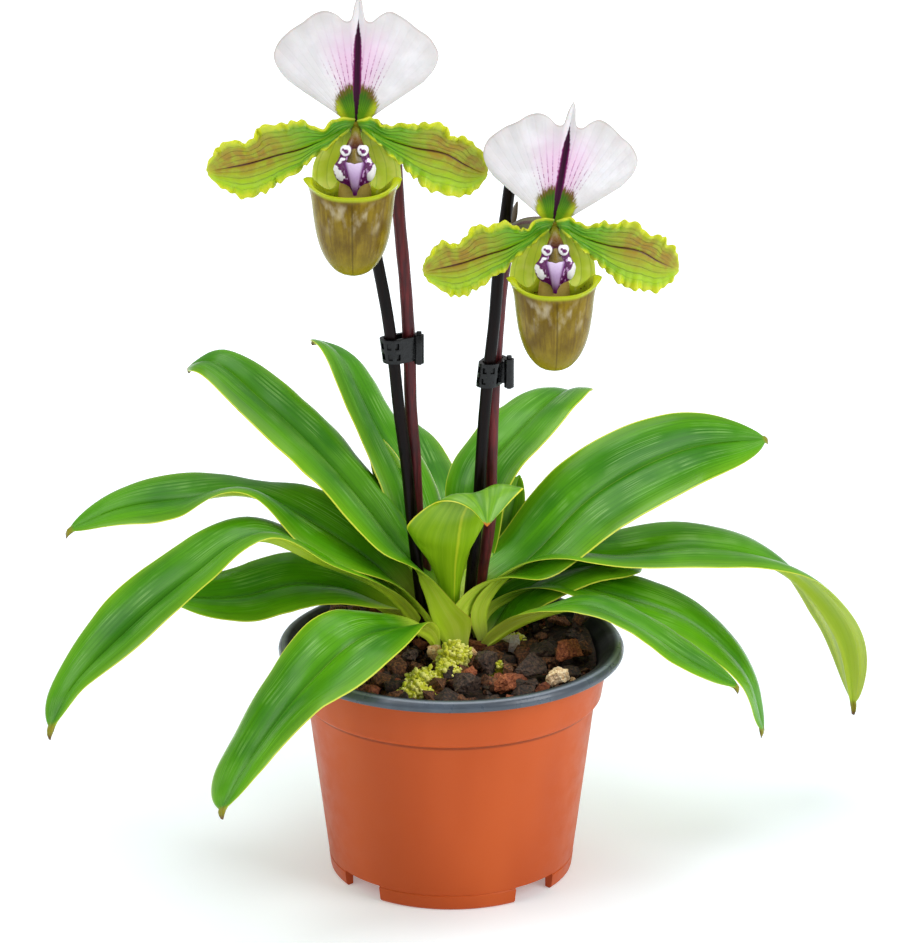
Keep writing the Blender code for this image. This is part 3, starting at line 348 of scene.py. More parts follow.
def glide(t, h, a, b, lean_a, lean_b):
    """From a to b over a stretch h, at share t, leaving and arriving with the given leans."""
    return (a * (2 * t**3 - 3 * t**2 + 1) + lean_a * (h * (t**3 - 2 * t**2 + t))
            + b * (3 * t**2 - 2 * t**3) + lean_b * (h * (t**3 - t**2)))


def smooth_curve(points, count):
    """Read `count` points from a smooth curve through `points`."""
    pts = [Vector(p) for p in points]
    knots = [0.0]
    for a, b in zip(pts, pts[1:]):
        knots.append(knots[-1] + (b - a).length)
    last = len(pts) - 1
    slopes = []
    for i in range(len(pts)):
        lo = max(i - 1, 0)
        hi = min(i + 1, last)
        if 0 < i < last:
            before = (pts[i] - pts[lo]) / (knots[i] - knots[lo])
            after = (pts[hi] - pts[i]) / (knots[hi] - knots[i])
            share = (knots[i] - knots[lo]) / (knots[hi] - knots[lo])
            slopes.append(before * (1 - share) + after * share)
        else:
            slopes.append((pts[hi] - pts[lo]) / (knots[hi] - knots[lo]))
    out = []
    for k in range(count):
        s = knots[-1] * k / (count - 1)
        i = min(last - 1, max(j for j in range(last) if knots[j] <= s + 1e-9))
        h = knots[i + 1] - knots[i]
        t = (s - knots[i]) / h
        out.append(glide(t, h, pts[i], pts[i + 1], slopes[i], slopes[i + 1]))
    return out


def read_table(table, x):
    """Read a value from (x, value) pairs, straight between them."""
    if x <= table[0][0]:
        return table[0][1]
    for (x0, y0), (x1, y1) in zip(table, table[1:]):
        if x <= x1:
            return y0 + (y1 - y0) * (x - x0) / (x1 - x0)
    return table[-1][1]


def read_smooth(table, x):
    """Read a value from (x, value) pairs along a smooth line through them."""
    last = len(table) - 1
    x = min(max(x, table[0][0]), table[-1][0])
    i = max(j for j in range(last) if table[j][0] <= x)

    def slope(k):
        a = table[max(k - 1, 0)]
        b = table[min(k + 1, last)]
        return (b[1] - a[1]) / (b[0] - a[0])

    (x0, y0), (x1, y1) = table[i], table[i + 1]
    h = x1 - x0
    t = (x - x0) / h
    return glide(t, h, y0, y1, slope(i), slope(i + 1))


def ease(x):
    """A smooth step from 0 to 1."""
    x = min(max(x, 0.0), 1.0)
    return x * x * (3 - 2 * x)


def paint(r, g, b):
    """A linear colour from its 0 to 255 screen values."""
    out = []
    for c in (r, g, b):
        c /= 255
        out.append(c / 12.92 if c <= 0.04045 else ((c + 0.055) / 1.055) ** 2.4)
    return (*out, 1.0)


def blend_paint(a, b, share):
    """A colour between two."""
    share = min(max(share, 0.0), 1.0)
    return tuple(x + (y - x) * share for x, y in zip(a, b))


# --- laying out nodes

def node_sum(kind, swapped=False):
    """An operator between two values, worked out by a node."""

    def work(value, other):
        first, second = (other, value) if swapped else (value, other)
        way = value.layout.vector if value.socket.type == "VECTOR" else value.layout.math
        return way(kind, first, second)

    return work


class Value:
    """What a node gives. A sum written with it adds the nodes that work it out."""

    def __init__(self, layout, socket):
        self.layout = layout
        self.socket = socket

    __add__ = node_sum("ADD")
    __radd__ = node_sum("ADD", swapped=True)
    __sub__ = node_sum("SUBTRACT")
    __rsub__ = node_sum("SUBTRACT", swapped=True)
    __mul__ = node_sum("MULTIPLY")
    __rmul__ = node_sum("MULTIPLY", swapped=True)
    __truediv__ = node_sum("DIVIDE")
    __pow__ = node_sum("POWER")

    def __abs__(self):
        return self.layout.math("ABSOLUTE", self)


class Layout:
    """Adds and joins nodes in one tree."""

    def __init__(self, tree):
        self.tree = tree

    def feed(self, socket, value):
        """Join one or several values to a socket, or set it to a plain one."""
        if isinstance(value, (Value, list)):
            for each in value if isinstance(value, list) else [value]:
                self.tree.links.new(each.socket, socket)
        else:
            socket.default_value = value

    def node(self, kind, inputs=None, out=0, **settings):
        """Add a node; `out` is the output to use, or a tuple of several."""
        made = self.tree.nodes.new(kind)
        for key, value in settings.items():
            setattr(made, key, value)
        for key, value in (inputs or {}).items():
            self.feed(made.inputs[key], value)
        if isinstance(out, tuple):
            return [Value(self, made.outputs[key]) for key in out]
        return Value(self, made.outputs[out])

    def math(self, kind, a, b=0.0):
        return self.node("ShaderNodeMath", {0: a, 1: b}, operation=kind)

    def vector(self, kind, a, b=(0, 0, 0)):
        out = 1 if kind in ("DOT_PRODUCT", "LENGTH") else 0
        return self.node("ShaderNodeVectorMath", {0: a, 1: b}, out, operation=kind)

    def stretch(self, a, scale):
        return self.node("ShaderNodeVectorMath", {0: a, 3: scale}, operation="SCALE")

    def spot(self, x=0.0, y=0.0, z=0.0):
        return self.node("ShaderNodeCombineXYZ", {0: x, 1: y, 2: z})

    def fade(self, value, start, end, low=0.0, high=1.0):
        """Go smoothly from low to high while value goes from start to end."""
        return self.node("ShaderNodeMapRange", {0: value, 1: start, 2: end, 3: low, 4: high},
                         interpolation_type="SMOOTHSTEP")


class Finish(Layout):
    """A procedural finish; patterns are sized in millimetres."""

    def __init__(self, name, roughness=0.5, **constants):
        self.material = bpy.data.materials.new(name)
        self.material.use_nodes = True
        super().__init__(self.material.node_tree)
        self.shader = self.tree.nodes["Principled BSDF"]
        self.shader.inputs["Roughness"].default_value = roughness
        for key, value in constants.items():
            self.shader.inputs[key.replace("_", " ")].default_value = value
        self.relief = None

    def place(self, scale=(1, 1, 1)):
        return self.node("ShaderNodeMapping", {"Vector": self.node("ShaderNodeTexCoord", out=3),
                                               "Scale": tuple(s / MM for s in scale)})

    def grain(self, size, detail=3.0, rough=0.5, scale=(1, 1, 1)):
        """Cloudy noise with patches about `size` millimetres across."""
        return self.node("ShaderNodeTexNoise", {"Vector": self.place(scale), "Scale": 1 / size,
                                                "Detail": detail, "Roughness": rough})

    def cells(self, size):
        """Cells about `size` millimetres across."""
        return self.node("ShaderNodeTexVoronoi", {"Vector": self.place(), "Scale": 1 / size})

    def streaks(self, first, second, width, length, detail=2.0):
        """Noise drawn out along a piece, read from two values stored on it."""
        return self.node("ShaderNodeTexNoise", {"Vector": self.spot(first / width, second / length),
                                                "Scale": 1.0, "Detail": detail})

    def lines(self, value, often):
        """Even lines: 0 along each line and 1 halfway between two."""
        return abs(self.math("SINE", value * often))

    def stored(self, name, out=2):
        """A value stored on the mesh."""
        return self.node("ShaderNodeAttribute", out=out, attribute_name=name)

    def blend(self, share, first, second, way="MIX"):
        """Mix two colours; a plain one is given by its 0 to 255 screen values."""
        first, second = [paint(*tone) if isinstance(tone, tuple) else tone for tone in (first, second)]
        return self.node("ShaderNodeMix", {0: share, 6: first, 7: second}, 2, data_type="RGBA",
                         blend_type=way)

    def colour(self, value):
        self.feed(self.shader.inputs["Base Color"], value)

    def roughness(self, value):
        self.feed(self.shader.inputs["Roughness"], value)

    def emboss(self, height, depth):
        """Add a relief of `depth` millimetres."""
        inputs = {"Height": height, "Distance": depth * MM, "Strength": 1.0}
        if self.relief:
            inputs["Normal"] = self.relief
        self.relief = self.node("ShaderNodeBump", inputs)
        self.feed(self.shader.inputs["Normal"], self.relief)


class Recipe(Layout):
    """A Geometry Nodes tree with named sizes, listed by kind."""

    def __init__(self, name, sizes):
        super().__init__(bpy.data.node_groups.new(name, "GeometryNodeTree"))
        face = self.tree.interface
        for kind, titles in {"Geometry": ["Geometry"], **sizes}.items():
            for title in titles:
                face.new_socket(title, in_out="INPUT", socket_type="NodeSocket" + kind)
        face.new_socket("Geometry", in_out="OUTPUT", socket_type="NodeSocketGeometry")
        self.enter = self.tree.nodes.new("NodeGroupInput")
        self.leave = self.tree.nodes.new("NodeGroupOutput")

    def size(self, title):
        return Value(self, self.enter.outputs[title])

    def stored(self, name):
        return self.node("GeometryNodeInputNamedAttribute", {"Name": name}, data_type="FLOAT")

    def store(self, geometry, name, value, domain="POINT"):
        return self.node("GeometryNodeStoreNamedAttribute",
                         {"Geometry": geometry, "Name": name, "Value": value},
                         data_type="FLOAT", domain=domain)

    def chance(self, low, high, seed):
        """A random number for each point."""
        return self.node("FunctionNodeRandomValue", {2: low, 3: high, "Seed": seed}, 1, data_type="FLOAT")

    def toned(self, points):
        """Store a random tone on each point."""
        return self.store(points, "tone", self.chance(0.0, 1.0, 3))

    def any_turn(self, tilt):
        """A random heading, tilted up to a size either way."""
        one, other = [self.chance(-1.0, 1.0, seed) * self.size(tilt) for seed in (5, 6)]
        return self.spot(one, other, self.chance(0.0, 6.283, 7))

    def any_size(self):
        grow = self.chance(self.size("Smallest"), self.size("Largest"), 8)
        return self.spot(grow, grow, grow)

    def shifted(self, geometry, way, value):
        """Move points to a Position or by an Offset."""
        return self.node("GeometryNodeSetPosition", {"Geometry": geometry, way: value})

    def finish(self, geometry):
        """Close the tree: real geometry with its finish on."""
        solid = self.node("GeometryNodeRealizeInstances", {0: geometry})
        named = self.node("GeometryNodeSetMaterial", {"Geometry": solid, "Material": self.size("Finish")})
        self.feed(self.leave.inputs[0], named)

    def grow(self, name, host, sizes):
        """Run the tree on a host mesh and keep the result as a plain mesh."""
        starter = put(name, host)
        step = starter.modifiers.new("recipe", "NODES")
        step.node_group = self.tree
        for item in self.tree.interface.items_tree:
            if item.in_out == "INPUT" and item.name in sizes:
                step[item.identifier] = sizes[item.name]
        return settle(starter)


# --- making and fitting pieces

ALONG_ACROSS = {"along": lambda v, u: v, "across": lambda v, u: u}


def put(name, data):
    """Put new data in the scene as an object."""
    made = bpy.data.objects.new(name, data)
    bpy.context.scene.collection.objects.link(made)
    return made


def settle(piece):
    """Turn a piece with modifiers into a plain mesh piece of the same name."""
    graph = bpy.context.evaluated_depsgraph_get()
    mesh = bpy.data.meshes.new_from_object(piece.evaluated_get(graph), depsgraph=graph)
    name = piece.name
    bpy.data.objects.remove(piece)
    mesh.name = name
    return put(name, mesh)


def place_point(point):
    """Millimetres about the pot's axis to metres in the frame."""
    return AXIS + Vector(point) * MM


def new_mesh(name, points, faces=(), marks=None, edges=()):
    """A mesh from millimetre points, with values stored at them."""
    mesh = bpy.data.meshes.new(name)
    mesh.from_pydata([place_point(p) for p in points], list(edges), list(faces))
    for mark, values in (marks or {}).items():
        if isinstance(values[0], (tuple, list)):
            layer = mesh.attributes.new(mark, "FLOAT_COLOR", "POINT")
            layer.data.foreach_set("color", [c for value in values for c in value])
        else:
            layer = mesh.attributes.new(mark, "FLOAT", "POINT")
            layer.data.foreach_set("value", values)
    return mesh


def show(name, mesh, finish=None, crease=None):
    """Put a mesh in the scene, smooth, with its finish."""
    piece = put(name, mesh)
    if finish:
        mesh.materials.append(finish)
    mesh.shade_smooth()
    if crease:
        mesh.set_sharp_from_angle(angle=math.radians(crease))
    return piece


def fit(piece, slot, *nodes):
    """Fix a piece to the plant, in place of its solids."""
    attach(piece, "root")
    if nodes:
        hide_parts(*nodes)
    return piece


def dress(name, mesh, finish, slot, *nodes, crease=None):
    """Show a mesh and fix it to the plant."""
    return fit(show(name, mesh, finish, crease), slot, *nodes)


def sheet_grid(rows, cols, point):
    """Rows of points point(along, across), along from 0 to 1 and across from -1 to 1."""
    return [[point(i / (rows - 1), j / (cols - 1) * 2 - 1) for j in range(cols)] for i in range(rows)]


def closed_sheet(name, grid, thick, marks, finish, crease=50):
    """Close a grid into a thin sheet whose two faces meet at the border."""
    rows, cols = len(grid), len(grid[0])
    points = [p for row in grid for p in row]
    stored = {mark: [value for row in sheet_grid(rows, cols, rule) for value in row]
              for mark, rule in marks.items()}
    under = list(range(rows * cols))
    for i in range(1, rows - 1):
        for j in range(1, cols - 1):
            along = grid[i + 1][j] - grid[i - 1][j]
            across = grid[i][j + 1] - grid[i][j - 1]
            out = along.cross(across).normalized()
            here = i * cols + j
            under[here] = len(points)
            points[here] = grid[i][j] + out * (thick / 2)
            points.append(grid[i][j] - out * (thick / 2))
            for values in stored.values():
                values.append(values[here])
    corners = [i * cols + j for i in range(rows - 1) for j in range(cols - 1)]
    faces = [(a, a + cols, a + cols + 1, a + 1) for a in corners]
    faces += [(under[a], under[a + 1], under[a + cols + 1], under[a + cols]) for a in corners]
    mesh = new_mesh(name, points, faces, stored)
    layer = mesh.attributes.new("underside", "FLOAT", "FACE")
    layer.data.foreach_set("value", [0.0] * len(corners) + [1.0] * len(corners))
    return show(name, mesh, finish, crease)


def ring_faces(rings, sides):
    """Faces between rings of points that lie one after the other."""
    faces = []
    for first in range(0, (rings - 1) * sides, sides):
        for k in range(sides):
            a = first + k
            b = first + (k + 1) % sides
            faces.append((a, b, b + sides, a + sides))
    return faces


def tube_mesh(name, points, widths, depths, sides=20, facing=(0, -1, 0), marks=None, ribs=None):
    """Loft ellipses along a path and close both ends with a point."""
    last = len(points) - 1
    verts = []
    along = []
    around = []
    for i, point in enumerate(points):
        ahead = (points[min(i + 1, last)] - points[max(i - 1, 0)]).normalized()
        front = Vector(facing)
        front = (front - ahead * front.dot(ahead)).normalized()
        right = ahead.cross(front)
        for k in range(sides):
            a = 2 * math.pi * k / sides
            grow = ribs(i / last, a) if ribs else 1.0
            verts.append(point + right * (widths[i] * grow * math.cos(a))
                         + front * (depths[i] * grow * math.sin(a)))
            along.append(i / last)
            around.append(a)
    foot = len(verts)
    faces = ring_faces(len(points), sides)
    for k in range(sides):
        faces.append((foot, (k + 1) % sides, k))
        faces.append((foot + 1, last * sides + k, last * sides + (k + 1) % sides))
    stored = {"along": along + [0.0, 1.0], "around": around + [0.0, 0.0], **(marks or {})}
    mesh = new_mesh(name, verts + [points[0], points[-1]], faces, stored)
    turn_out(mesh)
    return mesh


def turn_out(mesh):
    """Point every face of a closed mesh outwards."""
    work = bmesh.new()
    work.from_mesh(mesh)
    bmesh.ops.recalc_face_normals(work, faces=work.faces)
    work.to_mesh(mesh)
    work.free()


# --- recipes: leaves, stalks, chips, tufts and hairs

def leaf_recipe():
    """A strap leaf swept along its midrib: folded base, flat blade, thin margins."""
    r = Recipe("strap leaf", {
        "Float": ["Half Width", "Sheath Fold", "Blade Fold", "Arch", "Base Share", "Widest", "Open By",
                  "Swell", "Waist", "Green Early", "Thickness", "Ripple", "Seed"],
        "Vector": ["Side"], "Int": ["Stations", "Columns"], "Material": ["Finish"]})

    def at_most_one(value):
        return r.math("MINIMUM", value, 1.0)

    def bell(sharpness):
        """Highest along the midrib, falling off to both margins."""
        return r.math("EXPONENT", sharpness * (across * across))

    sheet = r.node("GeometryNodeMeshGrid", {"Size X": 1.0, "Size Y": 1.0, "Vertices X": r.size("Stations"),
                                            "Vertices Y": r.size("Columns")})
    x, y = r.node("ShaderNodeSeparateXYZ", {0: r.node("GeometryNodeInputPosition")}, (0, 1))
    even = y * 2.0
    sheet = r.store(sheet, "along", x + 0.5)
    sheet = r.store(sheet, "across", r.math("SIGN", even) * abs(even) ** 1.25)
    along = r.stored("along")
    across = r.stored("across")
    off = abs(across)

    # the midrib, and the directions across and off the blade at each station
    midrib = r.node("GeometryNodeMeshToCurve", {0: r.size("Geometry")})
    turn, middle, ahead = r.node("GeometryNodeSampleCurve",
                                 {"Curves": midrib, "Value": r.stored("turn"), "Factor": along},
                                 ("Value", "Position", "Tangent"), mode="FACTOR", data_type="FLOAT")
    sheet = r.store(sheet, "reach", along * r.node("GeometryNodeCurveLength", {0: midrib}) / MM)
    sheet = r.store(sheet, "early", r.size("Green Early"))
    side = r.size("Side")
    flat = r.vector("NORMALIZE", side - r.stretch(ahead, r.vector("DOT_PRODUCT", side, ahead)))
    up = r.vector("CROSS_PRODUCT", ahead, flat)
    cosine = r.math("COSINE", turn)
    sine = r.math("SINE", turn)
    wide = r.stretch(flat, cosine) + r.stretch(up, sine)
    tall = r.stretch(up, cosine) - r.stretch(flat, sine)

    # the outline: it swells from the base, may narrow at a waist and tapers to the tip
    base = r.size("Base Share")
    widest = r.size("Widest")
    rise = r.math("SINE", math.pi / 2 * at_most_one(along / widest)) ** r.size("Swell")
    pinch = r.size("Waist") * r.math("EXPONENT", ((along - WAIST_AT) / WAIST_SPAN) ** 2.0 * -1.0)
    swell = (base + (1.0 - base) * rise) * (1.0 - pinch) * r.fade(along, 0.0, 0.09, 0.4, 1.0)
    past = at_most_one(r.math("MAXIMUM", (along - widest) / (HOOK_START - widest), 0.0))
    taper = r.math("MAXIMUM", 1.0 - past ** 2.3, 0.0) ** 0.68
    taper = r.math("MAXIMUM", taper, r.fade(along, 0.99, 1.0, 0.085, 0.045))
    width = r.size("Half Width") * (swell * taper)

    # the section: folded at the base, arched halves, a groove along the midrib, a slow ripple
    fold = r.fade(along, 0.0, r.size("Open By"), r.size("Sheath Fold"), r.size("Blade Fold"))
    bulge = r.fade(along, 0.0, 0.4) * r.size("Arch") * (off * 4.0 * (1.0 - off))
    groove = -GROOVE * bell(-180.0)
    wave = r.node("ShaderNodeTexNoise", {"Vector": r.spot(along * 7.0, across * 1.1, r.size("Seed")),
                                         "Scale": 1.0, "Detail": 1.0}) - 0.5
    wave = wave * r.size("Ripple") * (off * r.fade(along, 0.1, 0.4))
    lift = off * r.math("SINE", fold) + (bulge + (groove + wave))
    outward = width * (across * r.math("COSINE", fold))
    hook = r.fade(along, HOOK_START - 0.01, 1.0) ** 1.6 * (-HOOK_DROP * MM)
    middle = (middle + r.stretch(r.stretch(tall, 0.4) + r.spot(z=0.6), hook)
              + r.stretch(ahead, hook * 0.45))
    place = middle + (r.stretch(wide, outward) + r.stretch(tall, width * lift))
    blade = r.shifted(sheet, "Position", place)

    # both faces, thin at the margins and ends, with a keel below
    rim = (1.0 - across * across) ** 0.4
    ends = at_most_one(along * 40.0) * at_most_one((1.0 - along) * 60.0)
    half = r.size("Thickness") * (0.5 * (rim * ends))
    upper = r.shifted(blade, "Offset", r.stretch(r.node("GeometryNodeInputNormal"), half))
    lower = r.shifted(r.node("GeometryNodeFlipFaces", {0: blade}), "Offset",
                      r.stretch(r.node("GeometryNodeInputNormal"), half * (1.0 + bell(-90.0))))
    lower = r.store(lower, "underside", 1.0, "FACE")
    joined = r.node("GeometryNodeJoinGeometry", {0: [lower, upper]})
    closed = r.node("GeometryNodeMergeByDistance", {"Geometry": joined, "Distance": 0.000002})
    r.finish(r.node("GeometryNodeSetShadeSmooth", {"Geometry": closed, "Shade Smooth": True}))
    return r


def chip_recipe():
    """Loose chips scattered over a bed, each turned and sized at random."""
    r = Recipe("loose chips", {"Float": ["Spacing", "Density", "Smallest", "Largest", "Tilt"],
                               "Collection": ["Chips"], "Int": ["Seed"], "Material": ["Finish"]})
    spots = r.node("GeometryNodeDistributePointsOnFaces",
                   {"Mesh": r.size("Geometry"), "Distance Min": r.size("Spacing"),
                    "Density Max": r.size("Density"), "Density Factor": r.stored("open"),
                    "Seed": r.size("Seed")}, distribute_method="POISSON")
    kinds = r.node("GeometryNodeCollectionInfo", {"Collection": r.size("Chips"), "Separate Children": True,
                                                  "Reset Children": True})
    r.finish(r.node("GeometryNodeInstanceOnPoints",
                    {"Points": r.toned(spots), "Instance": kinds, "Pick Instance": True,
                     "Rotation": r.any_turn("Tilt"), "Scale": r.any_size()}))
    return r


def tuft_recipe():
    """Short growths standing out of a surface, each leaning its own way."""
    r = Recipe("small growths", {"Float": ["Density", "Smallest", "Largest", "Lean"],
                                 "Object": ["Growth"], "Int": ["Seed"], "Material": ["Finish"]})
    spots, upright = r.node("GeometryNodeDistributePointsOnFaces",
                            {"Mesh": r.size("Geometry"), "Density": r.size("Density") * r.stored("open"),
                             "Seed": r.size("Seed")}, ("Points", "Rotation"), distribute_method="RANDOM")
    turn = r.node("FunctionNodeRotateRotation", {0: upright, 1: r.any_turn("Lean")}, rotation_space="LOCAL")
    shape = r.node("GeometryNodeObjectInfo", {"Object": r.size("Growth")}, 4)
    r.finish(r.node("GeometryNodeInstanceOnPoints", {"Points": r.toned(spots), "Instance": shape,
                                                     "Rotation": turn, "Scale": r.any_size()}))
    return r


# --- finishes

def leaf_finish():
    """Glossy strap leaf: fine long veins, pale sheath, yellow margin, brown tip, painted highlight specks
    on the arch, painted shade beside the midrib.
    """
    f = Finish("leaf", 0.34, Specular_IOR_Level=0.2, Coat_Weight=0.06, Coat_Roughness=0.12)
    along = f.stored("along")
    across = f.stored("across")
    reach = f.stored("reach")
    off = abs(across)
    cloud = f.grain(30, 2, 0.5)
    patch = f.grain(12, 2, 0.5)
    broad = f.streaks(across, along, 0.3, 0.5, 2)
    fine = f.streaks(across, along, 0.024, 0.3, 2)
    blade = f.blend(f.fade(cloud, 0.34, 0.68), (48, 118, 0), (78, 148, 8))
    blade = f.blend(f.fade(broad, 0.4, 0.7, 0, 0.34), blade, (104, 174, 26))
    blade = f.blend(f.fade(off, 0.6, 1.0, 0, 0.42), blade, (134, 184, 28))
    # painted highlight: pale specks that gather where the blade arches
    crest = f.fade(off, 0.04, 0.3) * f.fade(off, 0.8, 0.5)
    highlight_flecks = f.fade(fine, 0.48, 0.66) * (crest * f.fade(patch, 0.4, 0.64))
    blade = f.blend(highlight_flecks * 0.42, blade, (160, 202, 120))
    blade = f.blend(f.fade(fine, 0.52, 0.34) * 0.3, blade, (26, 84, 2))
    # painted shade: darker green beside the midrib's crease
    blade = f.blend(f.fade(off, 0.12, 0.03) * 0.12, blade, (28, 84, 4))
    blade = f.blend(f.fade(off, 0.022, 0.008) * 0.75, blade, (124, 174, 56))
    sheath = f.blend(f.fade(broad, 0.3, 0.7), (192, 224, 44), (218, 238, 90))
    grown = reach + f.stored("early")
    top = f.blend(f.fade(grown, 12, 36), sheath, blade)
    under_blade = f.blend(f.fade(broad, 0.3, 0.7), (148, 180, 20), (184, 208, 42))
    under_blade = f.blend(f.fade(reach, 75, 40, 0, 0.8), under_blade, (80, 132, 12))
    under_blade = f.blend(f.fade(fine, 0.45, 0.7, 0, 0.3), under_blade, (182, 202, 92))
    below = f.blend(f.fade(grown, 28, 46), sheath, under_blade)
    colour = f.blend(f.stored("underside"), top, below)
    colour = f.blend(f.fade(off, 0.955, 0.98, 0, 0.9), colour, (206, 214, 70))
    colour = f.blend(f.fade(reach, 12, 0, 0, 0.7), colour, (190, 204, 104))
    colour = f.blend(f.fade(along, HOOK_START - 0.014, HOOK_START + 0.002), colour, (136, 132, 26))
    colour = f.blend(f.fade(along, HOOK_START + 0.008, 0.998), colour, (104, 68, 22))
    f.colour(colour)
    f.roughness(f.fade(broad, 0.3, 0.75, 0.38, 0.22))
    f.emboss(fine, 0.035)
    f.emboss(f.streaks(across, along, 0.09, 0.8, 1), 0.1)
    return f.material


def young_leaf_finish():
    """Fresh lime leaf with a clear yellow margin and an orange tip."""
    f = Finish("young leaf", 0.34, Specular_IOR_Level=0.36, Coat_Weight=0.1, Coat_Roughness=0.2)
    along = f.stored("along")
    across = f.stored("across")
    off = abs(across)
    streak = f.streaks(across, along, 0.12, 0.6, 2)
    fine = f.streaks(across, along, 0.04, 0.4, 1)
    top = f.blend(f.fade(streak, 0.3, 0.75), (92, 150, 20), (122, 176, 34))
    top = f.blend(f.fade(off, 0.2, 0.0, 0, 0.6), top, (56, 118, 14))
    below = f.blend(f.fade(streak, 0.3, 0.75), (124, 168, 8), (146, 186, 22))
    colour = f.blend(f.stored("underside"), top, below)
    colour = f.blend(f.fade(along, 0.3, 0.0, 0, 0.7), colour, (168, 192, 58))
    colour = f.blend(f.fade(fine, 0.5, 0.8, 0, 0.18), colour, (186, 212, 70))
    rib = f.fade(off, 0.045, 0.012) * f.stored("underside")
    colour = f.blend(rib * 0.75, colour, (196, 210, 44))
    colour = f.blend(f.fade(off, 0.955, 0.98), colour, (220, 220, 56))
    colour = f.blend(f.fade(along, 0.982, 0.994), colour, (206, 116, 26))
    f.colour(colour)
    f.roughness(f.fade(streak, 0.3, 0.75, 0.42, 0.28))
    f.emboss(fine, 0.05)
    return f.material


def stem_finish():
    """Burgundy stem, a little downy, with long streaks."""
    f = Finish("burgundy stem", 0.46, Specular_IOR_Level=0.35, Sheen_Weight=0.1, Sheen_Roughness=0.4)
    streak = f.grain(1.0, 3, 0.6, (1, 1, 0.05))
    patch = f.grain(9, 2)
    colour = f.blend(f.fade(streak, 0.35, 0.7), (68, 10, 18), (112, 32, 36))
    colour = f.blend(f.fade(patch, 0.4, 0.75, 0, 0.5), colour, (44, 10, 16))
    f.colour(colour)
    f.roughness(f.fade(streak, 0.3, 0.7, 0.42, 0.6))
    f.emboss(streak, 0.12)
    f.emboss(f.cells(0.5), 0.05)
    return f.material


def stake_finish():
    """Near-black sprayed stake with long scratches."""
    f = Finish("dark stake", 0.3, Specular_IOR_Level=0.12)
    streak = f.grain(0.8, 4, 0.6, (1, 1, 0.04))
    colour = f.blend(f.fade(streak, 0.35, 0.75), (6, 2, 2), (26, 12, 11))
    colour = f.blend(f.fade(f.grain(14, 2), 0.55, 0.75, 0, 0.5), colour, (34, 14, 16))
    f.colour(colour)
    f.roughness(f.fade(streak, 0.3, 0.7, 0.26, 0.5))
    f.emboss(streak, 0.08)
    return f.material


def clip_finish():
    """Moulded black plastic, fine-grained, a touch greyer where rubbed."""
    f = Finish("black clip", 0.24, Specular_IOR_Level=0.3)
    f.colour(f.blend(f.fade(f.grain(1.6, 3), 0.45, 0.8), (3, 3, 4), (20, 21, 23)))
    f.roughness(f.fade(f.grain(0.9, 2), 0.3, 0.7, 0.18, 0.32))
    f.emboss(f.grain(0.25, 2), 0.03)
    return f.material


def terracotta_finish():
    """Satin terracotta plastic with faint cloudiness, moulding grain and a painted shadow under the band.
    """
    f = Finish("terracotta plastic", 0.44, Specular_IOR_Level=0.2)
    cloud = f.grain(34, 2, 0.45, (1, 1, 0.35))
    speck = f.grain(0.6, 3, 0.6)
    colour = f.blend(f.fade(cloud, 0.3, 0.72), (184, 76, 24), (196, 86, 32))
    colour = f.blend(f.fade(speck, 0.6, 0.8, 0, 0.2), colour, (166, 66, 22))
    height = f.node("ShaderNodeSeparateXYZ", {0: f.place()}, 2)
    # painted shadow: darker just below the band's overhanging lower edge
    under = f.fade(height, STEP_LOW + 1.6, BAND_LOW - 1.2) * f.fade(height, BAND_LOW, BAND_LOW - 0.3)
    colour = f.blend(under * 0.6, colour, (96, 34, 10))
    f.colour(colour)
    f.roughness(f.fade(f.grain(7, 3, 0.6), 0.3, 0.7, 0.36, 0.5))
    f.emboss(f.grain(0.45, 2), 0.025)
    f.emboss(f.grain(22, 1), 0.25)
    return f.material


def lip_finish():
    """Slate plastic lip, satin, dusted where the mix has rubbed it, with painted shade on its inner slope
    and a painted highlight along its crown.
    """
    f = Finish("slate plastic", 0.32, Specular_IOR_Level=0.5)
    speck = f.grain(0.7, 3, 0.6)
    colour = f.blend(f.fade(f.grain(12, 3), 0.35, 0.7), (60, 68, 78), (74, 84, 96))
    colour = f.blend(f.fade(speck, 0.66, 0.82, 0, 0.35), colour, (104, 108, 112))
    out = f.vector("LENGTH", f.vector("MULTIPLY", f.place() - AXIS / MM, (1, 1, 0)))
    # painted shade: the inner slope of the lip goes near black
    brink = LIP_RADIUS - 2.4
    colour = f.blend(f.fade(out, brink, brink - 1.4), colour, (20, 22, 24))
    # painted highlight: a pale line along the crown of the rolled lip
    crown = LIP_RADIUS - 1.7
    lip_highlight = f.fade(out, crown - 0.9, crown - 0.2) * f.fade(out, crown + 0.8, crown + 0.2)
    colour = f.blend(lip_highlight * 0.5, colour, (150, 160, 172))
    f.colour(colour)
    f.roughness(f.fade(f.grain(5, 3), 0.3, 0.7, 0.26, 0.42) + f.fade(out, brink, brink - 1.4, 0, 0.45))
    f.emboss(f.grain(0.5, 2), 0.03)
    return f.material


def mix_finish():
    """Damp fine mix between the chips."""
    f = Finish("fine mix", 0.9)
    crumb = f.grain(1.4, 4, 0.7)
    f.colour(f.blend(f.fade(crumb, 0.4, 0.75), (28, 18, 13), (84, 54, 36)))
    f.emboss(crumb, 0.8)
    return f.material


